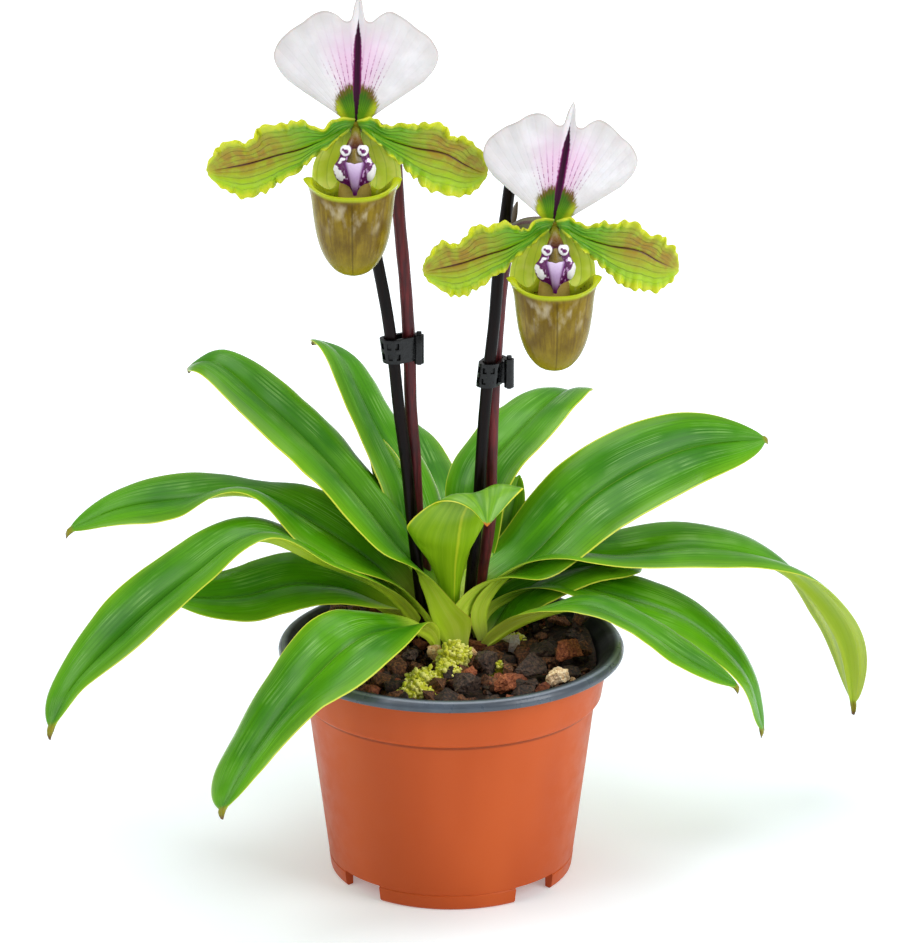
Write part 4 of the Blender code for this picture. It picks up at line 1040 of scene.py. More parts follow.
def chip_finish():
    """Bark chips and lava grit: each piece takes its own colour."""
    f = Finish("loose chips", 0.85)
    tone = f.stored("tone")
    grit = f.grain(0.9, 4, 0.65)
    dark = f.blend(f.fade(grit, 0.4, 0.75), (24, 14, 10), (98, 72, 54))
    brown = f.blend(f.fade(grit, 0.38, 0.72), (54, 28, 12), (142, 92, 56))
    red = f.blend(f.fade(grit, 0.35, 0.7), (92, 42, 18), (156, 90, 56))
    tan = f.blend(f.fade(grit, 0.35, 0.7), (176, 132, 86), (226, 192, 150))
    colour = f.blend(f.math("GREATER_THAN", tone, 0.36), dark, brown)
    colour = f.blend(f.math("GREATER_THAN", tone, 0.86), colour, red)
    colour = f.blend(f.math("GREATER_THAN", tone, 0.972), colour, tan)
    f.colour(colour)
    f.roughness(f.fade(grit, 0.3, 0.7, 0.7, 0.95))
    f.emboss(grit, 0.35)
    f.emboss(f.cells(0.8), 0.15)
    return f.material


def stone_finish(name, low, high, pit):
    """A rough stone or bark chunk in two tones with a third in its pits."""
    f = Finish(name, 0.85)
    grit = f.grain(1.1, 5, 0.65)
    pits = f.cells(0.9)
    colour = f.blend(f.fade(grit, 0.35, 0.68), low, high)
    colour = f.blend(f.fade(pits, 0.32, 0.12, 0, 0.6), colour, pit)
    f.colour(colour)
    f.roughness(f.fade(grit, 0.3, 0.7, 0.68, 0.95))
    f.emboss(grit, 0.4)
    f.emboss(pits, 0.25)
    return f.material


def moss_finish():
    """Yellow-green moss, darker down in the cushion."""
    f = Finish("moss", 0.8, Sheen_Weight=0.2)
    tone = f.stored("tone")
    colour = f.blend(f.fade(tone, 0.2, 0.9), (216, 218, 44), (255, 252, 146))
    colour = f.blend(f.fade(f.grain(3, 3), 0.45, 0.75, 0, 0.5), colour, (194, 210, 50))
    f.colour(colour)
    f.emboss(f.grain(0.35, 2), 0.08)
    return f.material


def rhizome_finish():
    """Rough olive-brown rootstock."""
    f = Finish("rhizome", 0.7)
    f.colour(f.blend(f.fade(f.grain(2.5, 3), 0.4, 0.7), (96, 88, 34), (140, 126, 60)))
    f.emboss(f.grain(1.2, 3), 0.3)
    return f.material


# --- pot and bed

def shell_radius(z):
    """Outside radius of the terracotta wall at height z."""
    return read_table([(0.0, BASE_RADIUS), (STEP_LOW, STEP_RADIUS), (BAND_LOW, BAND_LOW_RADIUS),
                       (SHELL_TOP, BAND_TOP_RADIUS)], z)


def round_corners(profile, steps=4):
    """Round the corners of a closed profile of (radius, height, rounding) points."""
    out = []
    for i, (r, z, soft) in enumerate(profile):
        here = Vector((r, z))
        before = Vector(profile[i - 1][:2]) - here
        after = Vector(profile[(i + 1) % len(profile)][:2]) - here
        if not soft:
            out.append((r, z))
            continue
        a = here + before.normalized() * min(soft, before.length * 0.45)
        b = here + after.normalized() * min(soft, after.length * 0.45)
        for k in range(steps + 1):
            t = k / steps
            p = a * (1 - t) ** 2 + here * (2 * t * (1 - t)) + b * t ** 2
            out.append((max(p.x, 0.0), p.y))
    return out


def turned(name, profile, segments, finish):
    """Turn a closed profile of (radius, height) about the pot's axis."""
    verts = []
    rings = []
    for r, z in profile:
        if r < 1e-6:
            rings.append([len(verts)] * segments)
            verts.append((0, 0, z))
            continue
        rings.append(list(range(len(verts), len(verts) + segments)))
        for k in range(segments):
            a = 2 * math.pi * k / segments
            verts.append((r * math.cos(a), r * math.sin(a), z))
    faces = []
    for ring, above in zip(rings, rings[1:] + rings[:1]):
        for k in range(segments):
            corners = [ring[k], ring[(k + 1) % segments], above[(k + 1) % segments], above[k]]
            kept = list(dict.fromkeys(corners))
            if len(kept) > 2:
                faces.append(kept)
    mesh = new_mesh(name, verts, faces)
    turn_out(mesh)
    return show(name, mesh, finish, 40)


def block(name, size, centre, turn, offset=(0, 0, 0)):
    """A plain block, turned about the pot's axis and then moved, used to cut or join."""
    spin = Matrix.Rotation(turn, 3, "Z")
    verts = [spin @ (Vector((x * size[0] / 2, y * size[1] / 2, z * size[2] / 2)) + Vector(centre))
             for x in (-1, 1) for y in (-1, 1) for z in (-1, 1)]
    faces = [(0, 1, 3, 2), (4, 6, 7, 5), (0, 4, 5, 1), (2, 3, 7, 6), (0, 2, 6, 4), (1, 5, 7, 3)]
    mesh = new_mesh(name, verts, faces)
    for vert in mesh.vertices:
        vert.co += Vector(offset) * MM
    turn_out(mesh)
    return show(name, mesh)


def post(name, centre, radius, low, high, sides=32):
    """An upright round post, used to cut or join."""
    points = [Vector((*centre, low)), Vector((*centre, high))]
    return show(name, tube_mesh(name, points, [radius] * 2, [radius] * 2, sides))


def shape_with(piece, tools, way="DIFFERENCE"):
    """Cut or join a piece with tools and keep it as a plain mesh."""
    for tool in tools:
        step = piece.modifiers.new(tool.name, "BOOLEAN")
        step.operation = way
        step.solver = "EXACT"
        step.object = tool
    plain = settle(piece)
    for tool in tools:
        bpy.data.objects.remove(tool)
    return plain


def dress_pot():
    """The terracotta shell on its feet and the slate lining with its rolled lip."""
    top = SHELL_TOP
    foot = BASE_RADIUS - FOOT_RING
    floor = FLOOR_LOW + 1.6
    # down the outside, round the foot ring, along the floor and back up the inside
    profile = [(shell_radius(top), top, 0.3), (BAND_LOW_RADIUS + 0.1, BAND_LOW + 0.6, 0.5),
               (BAND_LOW_RADIUS - 0.9, BAND_LOW - 0.3, 0.4), (STEP_RADIUS + 0.4, BAND_LOW - 0.8, 0.6),
               (STEP_RADIUS, STEP_LOW, 0.8),
               (shell_radius(SCRIBE_HEIGHT + 0.35), SCRIBE_HEIGHT + 0.35, 0.1),
               (shell_radius(SCRIBE_HEIGHT) - 0.22, SCRIBE_HEIGHT, 0.1),
               (shell_radius(SCRIBE_HEIGHT - 0.35) + 0.1, SCRIBE_HEIGHT - 0.35, 0.1),
               (BASE_RADIUS + 0.2, 0.8, 0.6), (BASE_RADIUS - 0.6, 0, 0.3), (foot, 0, 0.3),
               (foot, FLOOR_LOW, 0.5), (0, FLOOR_LOW, 0), (0, floor, 0),
               (shell_radius(floor) - POT_WALL, floor, 0.5), (STEP_RADIUS - POT_WALL, STEP_LOW - 0.5, 0.5),
               (BAND_LOW_RADIUS - POT_WALL, BAND_LOW - 0.5, 0.5), (shell_radius(top) - POT_WALL, top, 0.2)]
    shell = turned("pot_shell_finished", round_corners(profile), POT_SEGMENTS, terracotta_finish())
    tools = [block(f"arch_{k}", (20, FOOT_GAP_WIDTH, 2 * FOOT_GAP_HEIGHT), (BASE_RADIUS - 0.3, 0, 0),
                   math.radians(FOOT_GAP_TURN + 90 * k)) for k in range(4)]
    turns = [math.pi / 2 * k for k in range(4)]
    tools += [post(f"drain_{k}", (DRAIN_SPREAD * math.cos(a), DRAIN_SPREAD * math.sin(a)), DRAIN_RADIUS,
                   FLOOR_LOW - 3, FLOOR_LOW + 3) for k, a in enumerate(turns)]
    shell = shape_with(shell, tools)
    shell.data.set_sharp_from_angle(angle=math.radians(32))
    fit(shell, "terracotta", "pot_shell")

    outer = POT_WALL + LINER_GAP
    inner = outer + LINER_WALL
    lip = LIP_TOP - LIP_HEIGHT
    low = FLOOR_LOW + 2
    # down the outside of the lining, along its floor, back up and over the rolled lip
    profile = [(shell_radius(lip) - outer, lip, 0), (BAND_LOW_RADIUS - outer, BAND_LOW - 0.5, 0),
               (STEP_RADIUS - outer, STEP_LOW - 0.5, 0), (shell_radius(low) - outer, low, 0),
               (0, low, 0), (0, low + 1, 0), (shell_radius(low) - inner, low + 1, 0),
               (STEP_RADIUS - inner, STEP_LOW - 0.5, 0.5), (BAND_LOW_RADIUS - inner, BAND_LOW - 0.5, 0.5),
               (shell_radius(lip) - inner - 0.2, lip - 1, 1.5),
               (LIP_RADIUS - 5.2, LIP_TOP - 0.7, 0.8), (LIP_RADIUS - 3.2, LIP_TOP, 1.2),
               (LIP_RADIUS - 1.2, LIP_TOP - 0.1, 1.4), (LIP_RADIUS, LIP_TOP - 1.8, 1.2),
               (LIP_RADIUS - 0.3, lip + 0.2, 0.6), (LIP_RADIUS - 1.2, lip, 0.3)]
    lining = turned("pot_lip_finished", round_corners(profile, 6), POT_SEGMENTS, lip_finish())
    fit(lining, "slate_plastic", "pot_liner")


def bed_radius():
    """Inside radius of the lining at the height of the bed."""
    return shell_radius(BED_TOP) - POT_WALL - LINER_WALL - 0.9


def bed_height(x, y):
    """Height of the uneven mix; it is heaped a little under the plant."""
    heap = 1.5 * math.exp(-((x / 26) ** 2 + ((y - 10) / 22) ** 2))
    heap += BED_BANK * ease((math.hypot(x, y) - 30) / 15) * min(max(0.42 + y / 28, 0.0), 1.0)
    return BED_TOP - 1.6 + heap + 1.3 * noise.noise(Vector((x / 6, y / 6, 3.1)))


def heap_points(rings, sectors, keep_clear):
    """Points and faces of the heaped top, and a 1 wherever loose chips may lie."""
    points = [(0, 0, bed_height(0, 0))]
    free = [0.0]
    for i in range(1, rings + 1):
        for k in range(sectors):
            r = bed_radius() * i / rings
            a = 2 * math.pi * k / sectors
            x, y = r * math.cos(a), r * math.sin(a)
            points.append((x, y, bed_height(x, y)))
            taken = any(math.hypot(x - cx, y - cy) < reach for cx, cy, reach in keep_clear)
            free.append(0.0 if taken or r > bed_radius() - 1.5 else 1.0)
    faces = [(0, 1 + k, 1 + (k + 1) % sectors) for k in range(sectors)]
    faces += [(a + 1, d + 1, c + 1, b + 1) for a, b, c, d in ring_faces(rings, sectors)]
    return points, faces, free


def dress_bed():
    """The mix, with loose chips and grit lying on it."""
    clear = [(*spot, width * 0.5) for spot, width, *rest in STONES.values()]
    clear += [(*spot, width * 0.42) for spot, width, *rest in MOSSES.values()]
    clear.append(CROWN)
    rings, sectors = 40, 120
    points, faces, free = heap_points(rings, sectors, clear)
    host = new_mesh("mix_top", points, faces, {"open": free})
    rim = list(range(1 + (rings - 1) * sectors, 1 + rings * sectors))
    low = [(points[i][0] * 0.985, points[i][1] * 0.985, BED_TOP - BED_DEPTH) for i in rim]
    first = len(points)
    closed = list(faces)
    for k in range(sectors):
        a, b = rim[k], rim[(k + 1) % sectors]
        closed.append((a, first + k, first + (k + 1) % sectors, b))
    closed.append(tuple(first + k for k in reversed(range(sectors))))
    base = new_mesh("mix_finished", points + low, closed)
    turn_out(base)
    dress("mix_finished", base, mix_finish(), "growing_mix", "growing_mix")

    kinds = bpy.data.collections.new("chip_kinds")
    bpy.context.scene.collection.children.link(kinds)
    for k in range(9):
        chip = chunk_mesh(f"chip_kind_{k}", (0, 0, 0), 1.0, 0.66, 100 + k, 14, 0)
        for vert in chip.vertices:
            vert.co -= AXIS
        kinds.objects.link(bpy.data.objects.new(f"chip_kind_{k}", chip))
    recipe = chip_recipe()
    looks = chip_finish()
    for name, (spacing, smallest, largest, tilt, seed) in CHIP_LAYERS.items():
        sizes = {"Chips": kinds, "Spacing": spacing * MM, "Density": 1e6, "Smallest": smallest,
                 "Largest": largest, "Tilt": tilt, "Seed": seed, "Finish": looks}
        fit(recipe.grow(name, host, sizes), "bark")
    for chip in list(kinds.objects):
        bpy.data.objects.remove(chip)
    bpy.data.collections.remove(kinds)


def chunk_mesh(name, centre, width, height, seed, corners, cuts):
    """An angular chunk: a hull of random corners, roughened when it is cut finer."""
    draw = random.Random(seed)
    work = bmesh.new()
    flat = draw.uniform(0.72, 1.0)
    for k in range(corners):
        way = Vector((draw.gauss(0, 1), draw.gauss(0, 1), draw.gauss(0, 1))).normalized()
        way *= draw.uniform(0.74, 1.0)
        square = max(abs(way.x), abs(way.y), abs(way.z))
        way = way.lerp(way / square * 0.8, 0.45)
        work.verts.new((way.x * width / 2, way.y * flat * width / 2, (way.z * 0.5 + 0.42) * height))
    bmesh.ops.convex_hull(work, input=work.verts)
    bmesh.ops.delete(work, geom=[v for v in work.verts if not v.link_faces], context="VERTS")
    bmesh.ops.triangulate(work, faces=work.faces)
    if cuts:
        bmesh.ops.subdivide_edges(work, edges=work.edges, cuts=cuts, use_grid_fill=True)
        bmesh.ops.triangulate(work, faces=work.faces)
        work.normal_update()
        for vert in work.verts:
            rough = noise.noise(vert.co * 0.55 + Vector((seed, 0, 0))) * 0.6
            rough += noise.noise(vert.co * 1.7 + Vector((0, seed, 0))) * 0.45
            vert.co += vert.normal * rough
    bmesh.ops.recalc_face_normals(work, faces=work.faces)
    for vert in work.verts:
        vert.co = place_point(vert.co + Vector(centre))
    mesh = bpy.data.meshes.new(name)
    work.to_mesh(mesh)
    work.free()
    return mesh


def own_node(name):
    """The node that a piece stands in for; the loose extras have none."""
    return () if name in LOOSE_EXTRAS else (name,)


def dress_stones():
    """The chunks that lie on top of the mix."""
    looks = {kind: (slot, stone_finish(title, *tones))
             for kind, (slot, title, *tones) in STONE_LOOKS.items()}
    for name, ((x, y), width, height, seed, kind) in STONES.items():
        slot, finish = looks[kind]
        piece = name + "_finished"
        mesh = chunk_mesh(piece, (x, y, bed_height(x, y) + 1.6), width * 1.08, height * 1.1, seed, 15, 5)
        dress(piece, mesh, finish, slot, *own_node(name), crease=20)


def moss_leaflet():
    """One short blunt leaflet, used many times."""
    work = bmesh.new()
    bmesh.ops.create_icosphere(work, subdivisions=1, radius=1.0)
    for vert in work.verts:
        vert.co = Vector((vert.co.x * 0.42, vert.co.y * 0.42, (vert.co.z + 0.7) * 0.62)) * MM
    mesh = bpy.data.meshes.new("moss_leaflet")
    work.to_mesh(mesh)
    work.free()
    mesh.shade_smooth()
    return put("moss_leaflet", mesh)


def dress_moss():
    """Cushions of moss covered in short curled leaflets."""
    growth = moss_leaflet()
    recipe = tuft_recipe()
    looks = moss_finish()
    for name, ((x, y), width, depth, height, seed) in MOSSES.items():
        work = bmesh.new()
        bmesh.ops.create_icosphere(work, subdivisions=4, radius=1.0)
        for vert in work.verts:
            lump = 1 + 0.42 * noise.noise(vert.co * 2.2 + Vector((seed, 0, 0)))
            lump += 0.14 * noise.noise(vert.co * 5 + Vector((0, seed, 0)))
            p = vert.co * lump
            vert.co = place_point((x + p.x * width / 2, y + p.y * depth / 2,
                                   bed_height(x, y) + max(p.z, -0.4) * height))
        mesh = bpy.data.meshes.new(name + "_cushion")
        work.to_mesh(mesh)
        work.free()
        layer = mesh.attributes.new("open", "FLOAT", "POINT")
        layer.data.foreach_set("value", [float(v.co.z > (BED_TOP - 1) * MM) for v in mesh.vertices])
        sizes = {"Growth": growth, "Density": 9e5, "Smallest": 0.9, "Largest": 2.2, "Lean": 0.9,
                 "Seed": seed, "Finish": looks}
        fit(recipe.grow(name + "_leaflets", mesh.copy(), sizes), "moss")
        dress(name + "_cushion", mesh, looks, "moss", *own_node(name))
    bpy.data.objects.remove(growth)


# --- leaves

def halved_curve(points, count, fine=241):
    """Points along a smooth curve, with as many on each side of its middle point."""
    curve = smooth_curve(points, fine)
    centre = Vector(points[len(points) // 2])
    middle = min(range(fine), key=lambda k: (curve[k] - centre).length)
    half = count // 2
    before = [curve[round(middle * k / half)] for k in range(half)]
    return before + [curve[middle + round((fine - 1 - middle) * k / half)] for k in range(half + 1)]


def midrib_mesh(name, base, azimuth, path, rolls, steps=64):
    """The line that a leaf is swept along, with its roll stored on it, and its sideways direction."""
    angle = math.radians(azimuth)
    out = Vector((math.cos(angle), math.sin(angle), 0))
    side = Vector((-math.sin(angle), math.cos(angle), 0))
    knots = [0.0]
    for a, b in zip(path, path[1:]):
        knots.append(knots[-1] + (Vector(b) - Vector(a)).length)
    turns = [(k / knots[-1], roll) for k, roll in zip(knots, rolls)]
    spine = [Vector((*base, 0)) + out * p.x + side * p.y + Vector((0, 0, p.z))
             for p in smooth_curve(path, steps)]
    roll = [math.radians(read_smooth(turns, i / (steps - 1))) for i in range(steps)]
    # two last points that droop, for the dry tip
    ahead = (spine[-1] - spine[-3]).normalized()
    spine += [spine[-1] + ahead * on + Vector((0, 0, -drop)) for on, drop in ((0.9, 0.5), (1.2, 1.5))]
    roll += [roll[-1], roll[-1]]
    links = [(i, i + 1) for i in range(len(spine) - 1)]
    return new_mesh(name + "_midrib", spine, (), {"turn": roll}, links), side


def dress_leaves():
    """Every leaf, swept along its own midrib, and the young leaf as a sheet."""
    recipe = leaf_recipe()
    looks = leaf_finish()
    young = young_leaf_finish()
    for order, (name, (base, azimuth, half_width, path, rolls, own)) in enumerate(LEAVES.items()):
        habit = {key: float(value) for key, value in {**LEAF_HABIT, **own}.items()}
        host, side = midrib_mesh(name, base, azimuth, path, rolls)
        sizes = {"Side": side, "Half Width": half_width * MM, "Widest": WIDEST,
                 "Sheath Fold": math.radians(habit["sheath"]), "Blade Fold": math.radians(habit["fold"]),
                 "Arch": habit["arch"], "Base Share": habit["base"], "Open By": habit["open"],
                 "Swell": habit["swell"], "Waist": habit["waist"], "Green Early": habit["early"],
                 "Thickness": LEAF_THICK * MM, "Ripple": LEAF_RIPPLE, "Seed": order * 3.7,
                 "Stations": LEAF_STATIONS, "Columns": LEAF_COLUMNS,
                 "Finish": young if name.startswith("leaf_inner") else looks}
        leaf = recipe.grow(name + "_finished", host, sizes)
        leaf.data.set_sharp_from_angle(angle=math.radians(60))
        fit(leaf, "leaf", name)
    rows, cols = 80, 33
    columns = [smooth_curve([row[k] for row in YOUNG_LEAF], rows) for k in range(5)]
    grid = [halved_curve([column[i] for column in columns], cols) for i in range(rows)]
    leaf = closed_sheet("leaf_young_finished", grid, 0.8, ALONG_ACROSS, young, 70)
    fit(leaf, "young_leaf", "leaf_young")


# --- stems, stakes and clips

def uneven(radius, points, swing, wave, lane):
    """Radii along a rod that swell and thin a little with height."""
    return [radius * (1 + swing * noise.noise(Vector((p.z / wave, *lane)))) for p in points]


def dress_stalks():
    """The flower stems, their stakes and the rhizome they grow from."""
    looks = stem_finish()
    for seed, (name, path) in enumerate(STEMS.items()):
        points = smooth_curve(path, 90)
        radii = uneven(STEM_RADIUS, points, 0.05, 9, (seed, 0))
        radii[0] *= 1.15
        mesh = tube_mesh(name + "_finished", points, radii, radii, 24)
        dress(name + "_finished", mesh, looks, "stem", name, crease=50)
    looks = stake_finish()
    for seed, (name, path) in enumerate(STAKES.items()):
        points = smooth_curve(path, 80)
        points.insert(0, points[0] - (points[4] - points[0]).normalized() * 8)
        radii = uneven(STAKE_RADIUS, points, 0.03, 6, (seed, 4))
        radii[-1] *= 0.75
        mesh = tube_mesh(name + "_finished", points, radii, radii, 24)
        dress(name + "_finished", mesh, looks, "stake", name, crease=50)
    low, high = [(corner - AXIS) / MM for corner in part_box("rhizome")]
    shares = [k / 40 for k in range(41)]
    points = [Vector((low.x + (high.x - low.x) * t, (low.y + high.y) / 2, (low.z + high.z) / 2 + 0.3))
              for t in shares]
    radii = [4.2 * math.sin(math.pi * (0.06 + 0.88 * t)) ** 0.3 * (1 + 0.07 * math.sin(t * 52))
             for t in shares]
    mesh = tube_mesh("rhizome_finished", points, radii, radii, 28, (0, 0, 1))
    dress("rhizome_finished", mesh, rhizome_finish(), "rhizome", "rhizome")


def at_height(path, z):
    """The point of a rising path at height z."""
    for a, b in zip(path, path[1:]):
        if z <= b[2]:
            return Vector(a).lerp(Vector(b), (z - a[2]) / (b[2] - a[2]))
    return Vector(path[-1])


def band_outline(a, b, radius, steps=16):
    """A rounded outline round two centres in plan."""
    ahead = Vector((b.x - a.x, b.y - a.y, 0)).normalized()
    start = math.atan2(ahead.y, ahead.x)
    ring = []
    for centre, first in ((b, start - math.pi / 2), (a, start + math.pi / 2)):
        for k in range(steps + 1):
            angle = first + math.pi * k / steps
            ring.append((centre.x + radius * math.cos(angle), centre.y + radius * math.sin(angle),
                         centre.z))
    return ring


def stacked(name, rings):
    """Join level outlines into one closed solid."""
    sides = len(rings[0])
    last = (len(rings) - 1) * sides
    faces = [tuple(range(sides)), tuple(last + k for k in range(sides))] + ring_faces(len(rings), sides)
    mesh = new_mesh(name, [v for ring in rings for v in ring], faces)
    turn_out(mesh)
    return show(name, mesh)


def make_clip(side, height, barrel, looks):
    """A snap clip: a windowed band round stake and stem, a web, and a hinge barrel with its pin."""
    stake_path, stem_path = STAKES["stake_" + side], STEMS["stem_" + side]
    inner = STEM_RADIUS + CLIP_PLAY
    outer = inner + CLIP_WALL

    def band(name, radius, reach):
        levels = [height - reach + 2 * reach * k / 6 for k in range(7)]
        return stacked(name, [band_outline(at_height(stake_path, z), at_height(stem_path, z), radius)
                              for z in levels])

    body = band(f"clip_{side}_finished", outer, CLIP_HEIGHT / 2)
    stake, stem = at_height(stake_path, height), at_height(stem_path, height)
    middle = (stake + stem) / 2
    hub = Vector((*barrel, height))
    reach = hub - middle
    half = BARREL_HEIGHT / 2
    parts = [block(f"web_{side}", (reach.length, WEB_THICK, CLIP_HEIGHT - 1.4), (0, 0, 0),
                   math.atan2(reach.y, reach.x), middle.lerp(hub, 0.55)),
             post(f"hinge_{side}", barrel, BARREL_RADIUS, height - half, height + half),
             post(f"pin_{side}", barrel, PIN_RADIUS, height - half - 0.5, height + half + 1.1)]
    body = shape_with(body, parts, "UNION")
    away = stake - stem
    away.z = 0
    away.normalize()
    tools = [band(f"hollow_{side}", inner, CLIP_HEIGHT / 2 + 1)]
    for row, offset in enumerate(WINDOW_ROWS):
        for k, swing in enumerate(WINDOW_TURNS):
            face = Matrix.Rotation(swing, 3, "Z") @ away
            centre = at_height(stake_path, height + offset) + face * outer
            tools.append(block(f"window_{side}_{row}{k}", WINDOW, (0, 0, 0), math.atan2(face.y, face.x),
                               centre))
    body = shape_with(body, tools)
    soften = body.modifiers.new("soft edges", "BEVEL")
    soften.width = 0.22 * MM
    soften.segments = 2
    soften.limit_method = "ANGLE"
    soften.angle_limit = math.radians(40)
    body = settle(body)
    body.data.materials.clear()
    body.data.materials.append(looks)
    body.data.shade_smooth()
    body.data.set_sharp_from_angle(angle=math.radians(38))
    fit(body, "clip", "clip_" + side)


def dress_clips():
    """A clip on each stem and stake."""
    looks = clip_finish()
    for side, (height, barrel) in CLIPS.items():
        make_clip(side, height, barrel, looks)


# --- flowers

def in_flower(flower, point, lean=0.0):
    """Move a point from the flower's own frame to the plant's."""
    p = Vector(point) * flower["size"]
    p = Matrix.Rotation(math.radians(lean), 3, "Y") @ p
    p = Matrix.Rotation(math.radians(flower["yaw"]), 3, "Z") @ p
    return p + Vector(flower["centre"])


def sepal_finish():
    """White sepal: lilac flush, dotted purple veins, dark stripe, green heart, painted shade towards the
    margin.
    """
    f = Finish("white sepal", 0.55, Subsurface_Weight=0.12, Subsurface_Scale=0.001, Specular_IOR_Level=0.15)
    side = f.stored("side")
    rise = f.stored("rise")
    fan = f.stored("fan")
    off = abs(side)
    wide = abs(fan)
    jag = (f.grain(0.9, 3) - 0.5) * 1.1
    cloud = f.grain(7, 3)
    petal = f.blend(f.fade(cloud, 0.35, 0.7), (216, 212, 214), (228, 225, 228))
    # painted shade: greyer towards the margins, darkest in a thin line at the rim
    outer = f.math("MAXIMUM", wide, f.stored("reach"))
    petal = f.blend(f.fade(outer, 0.72, 1.0, 0, 0.5), petal, (198, 192, 188))
    petal = f.blend(f.fade(outer, 0.975, 0.995, 0, 0.5), petal, (168, 160, 152))
    flush = f.fade(wide, 0.56, 0.12) * f.fade(rise, 36, 20)
    petal = f.blend(flush * 0.6, petal, (222, 166, 208))
    # veins fan out from the heart and break into dots
    vein = f.fade(f.lines(fan, 40.0), 0.5, 0.12)
    dots = f.fade(f.grain(0.7, 2), 0.46, 0.56)
    near = f.fade(rise, 27, 12)
    reach = f.fade(wide, 0.56, 0.4) * near
    vein_share = vein * dots * reach
    long_vein = vein * f.fade(rise, 35, 15) * f.fade(wide, 0.52, 0.2)
    petal = f.blend(long_vein * 0.34, petal, (196, 112, 180))
    petal = f.blend(vein_share, petal, (140, 14, 108))
    # green heart with a ragged olive border
    heart = rise + wide * (wide * 9.0)
    heart += jag * 2.2
    feather = f.streaks(fan, rise, 0.035, 5.0, 2) - 0.5
    heart += feather * 5.0
    green = f.blend(f.fade(rise, 1, 9), (112, 172, 20), (58, 104, 12))
    green = f.blend(vein * 0.6, green, (40, 74, 12))
    olive = f.blend(f.fade(heart, 12.2, 9.2), (108, 76, 26), green)
    petal = f.blend(f.fade(heart, 13.6, 11.4), petal, olive)
    edge_green = f.fade(heart, 13.4, 10.5) * f.fade(wide, 0.42, 0.8)
    petal = f.blend(edge_green, petal, (190, 202, 34))
    # the stripe, feathered, thickest two thirds up
    stripe = f.fade(rise, 0, 14, 0.45, 1.5) * f.fade(rise, 36.0, 25.0)
    stripe += jag * 0.6
    share = f.fade(stripe - off, -0.15, 0.25)
    share *= f.fade(rise, 36, 34)
    dark = f.blend(f.fade(off, 0.8, 1.6), (52, 0, 38), (140, 0, 106))
    petal = f.blend(share, petal, dark)
    f.colour(petal)
    f.emboss(vein, -0.05)
    f.emboss(f.grain(3.5, 3), 0.35)
    return f.material


def synsepal_finish():
    """Pale yellow-green scoop with faint veins."""
    f = Finish("pale green sepal", 0.45, Subsurface_Weight=0.1, Subsurface_Scale=0.002)
    veins = f.lines(f.stored("across"), 14.0)
    colour = f.blend(f.fade(f.grain(5, 2), 0.35, 0.7), (212, 232, 60), (232, 242, 108))
    colour = f.blend(f.fade(veins, 0.3, 0.05, 0, 0.35), colour, (146, 186, 30))
    colour = f.blend(f.fade(f.stored("along"), 0.3, 0.0, 0, 0.7), colour, (104, 160, 16))
    f.colour(colour)
    f.emboss(veins, 0.15)
    return f.material


def petal_finish():
    """Green petal: dark midvein, brown flush outwards, bright crisped margin."""
    f = Finish("green petal", 0.4, Specular_IOR_Level=0.35, Coat_Weight=0.12, Coat_Roughness=0.25)
    along = f.stored("along")
    across = f.stored("across")
    off = abs(across)
    soft = f.streaks(across, along, 0.14, 0.3, 2)
    green = f.blend(f.fade(along, 0.15, 0.75), (74, 150, 4), (154, 192, 10))
    green = f.blend(f.fade(soft, 0.4, 0.7, 0, 0.4), green, (174, 206, 34))
    spread = abs(across - 0.22) + f.grain(4, 3) * 0.3
    blush = f.fade(spread, 1.05, 0.3) * f.fade(along, 0.26, 0.62)
    blush *= f.fade(f.grain(3.0, 3), 0.3, 0.62, 0.45, 0.85)
    petal = f.blend(blush, green, (150, 102, 24))
    vein = f.fade(f.lines(across, 19.0), 0.42, 0.08)
    vein *= (f.fade(off, 0.85, 0.5) * f.fade(along, 0.98, 0.75))
    petal = f.blend(vein * 0.32, petal, (70, 84, 10))
    middle = f.fade(off, 0.05, 0.012) * f.fade(along, 1.0, 0.8)
    petal = f.blend(middle * 0.9, petal, (74, 24, 24))
    edge = off + (f.grain(2.2, 3) - 0.5) * 0.35
    petal = f.blend(f.fade(edge, 0.6, 0.92, 0, 0.92), petal, (204, 208, 34))
    petal = f.blend(f.fade(along, 0.93, 1.0, 0, 0.7), petal, (190, 196, 34))
    base = f.fade(along, 0.07, 0.0) * 0.7
    petal = f.blend(base, petal, (84, 128, 10))
    f.colour(petal)
    f.emboss(vein, -0.15)
    f.emboss(f.grain(1.6, 2), 0.12)
    return f.material


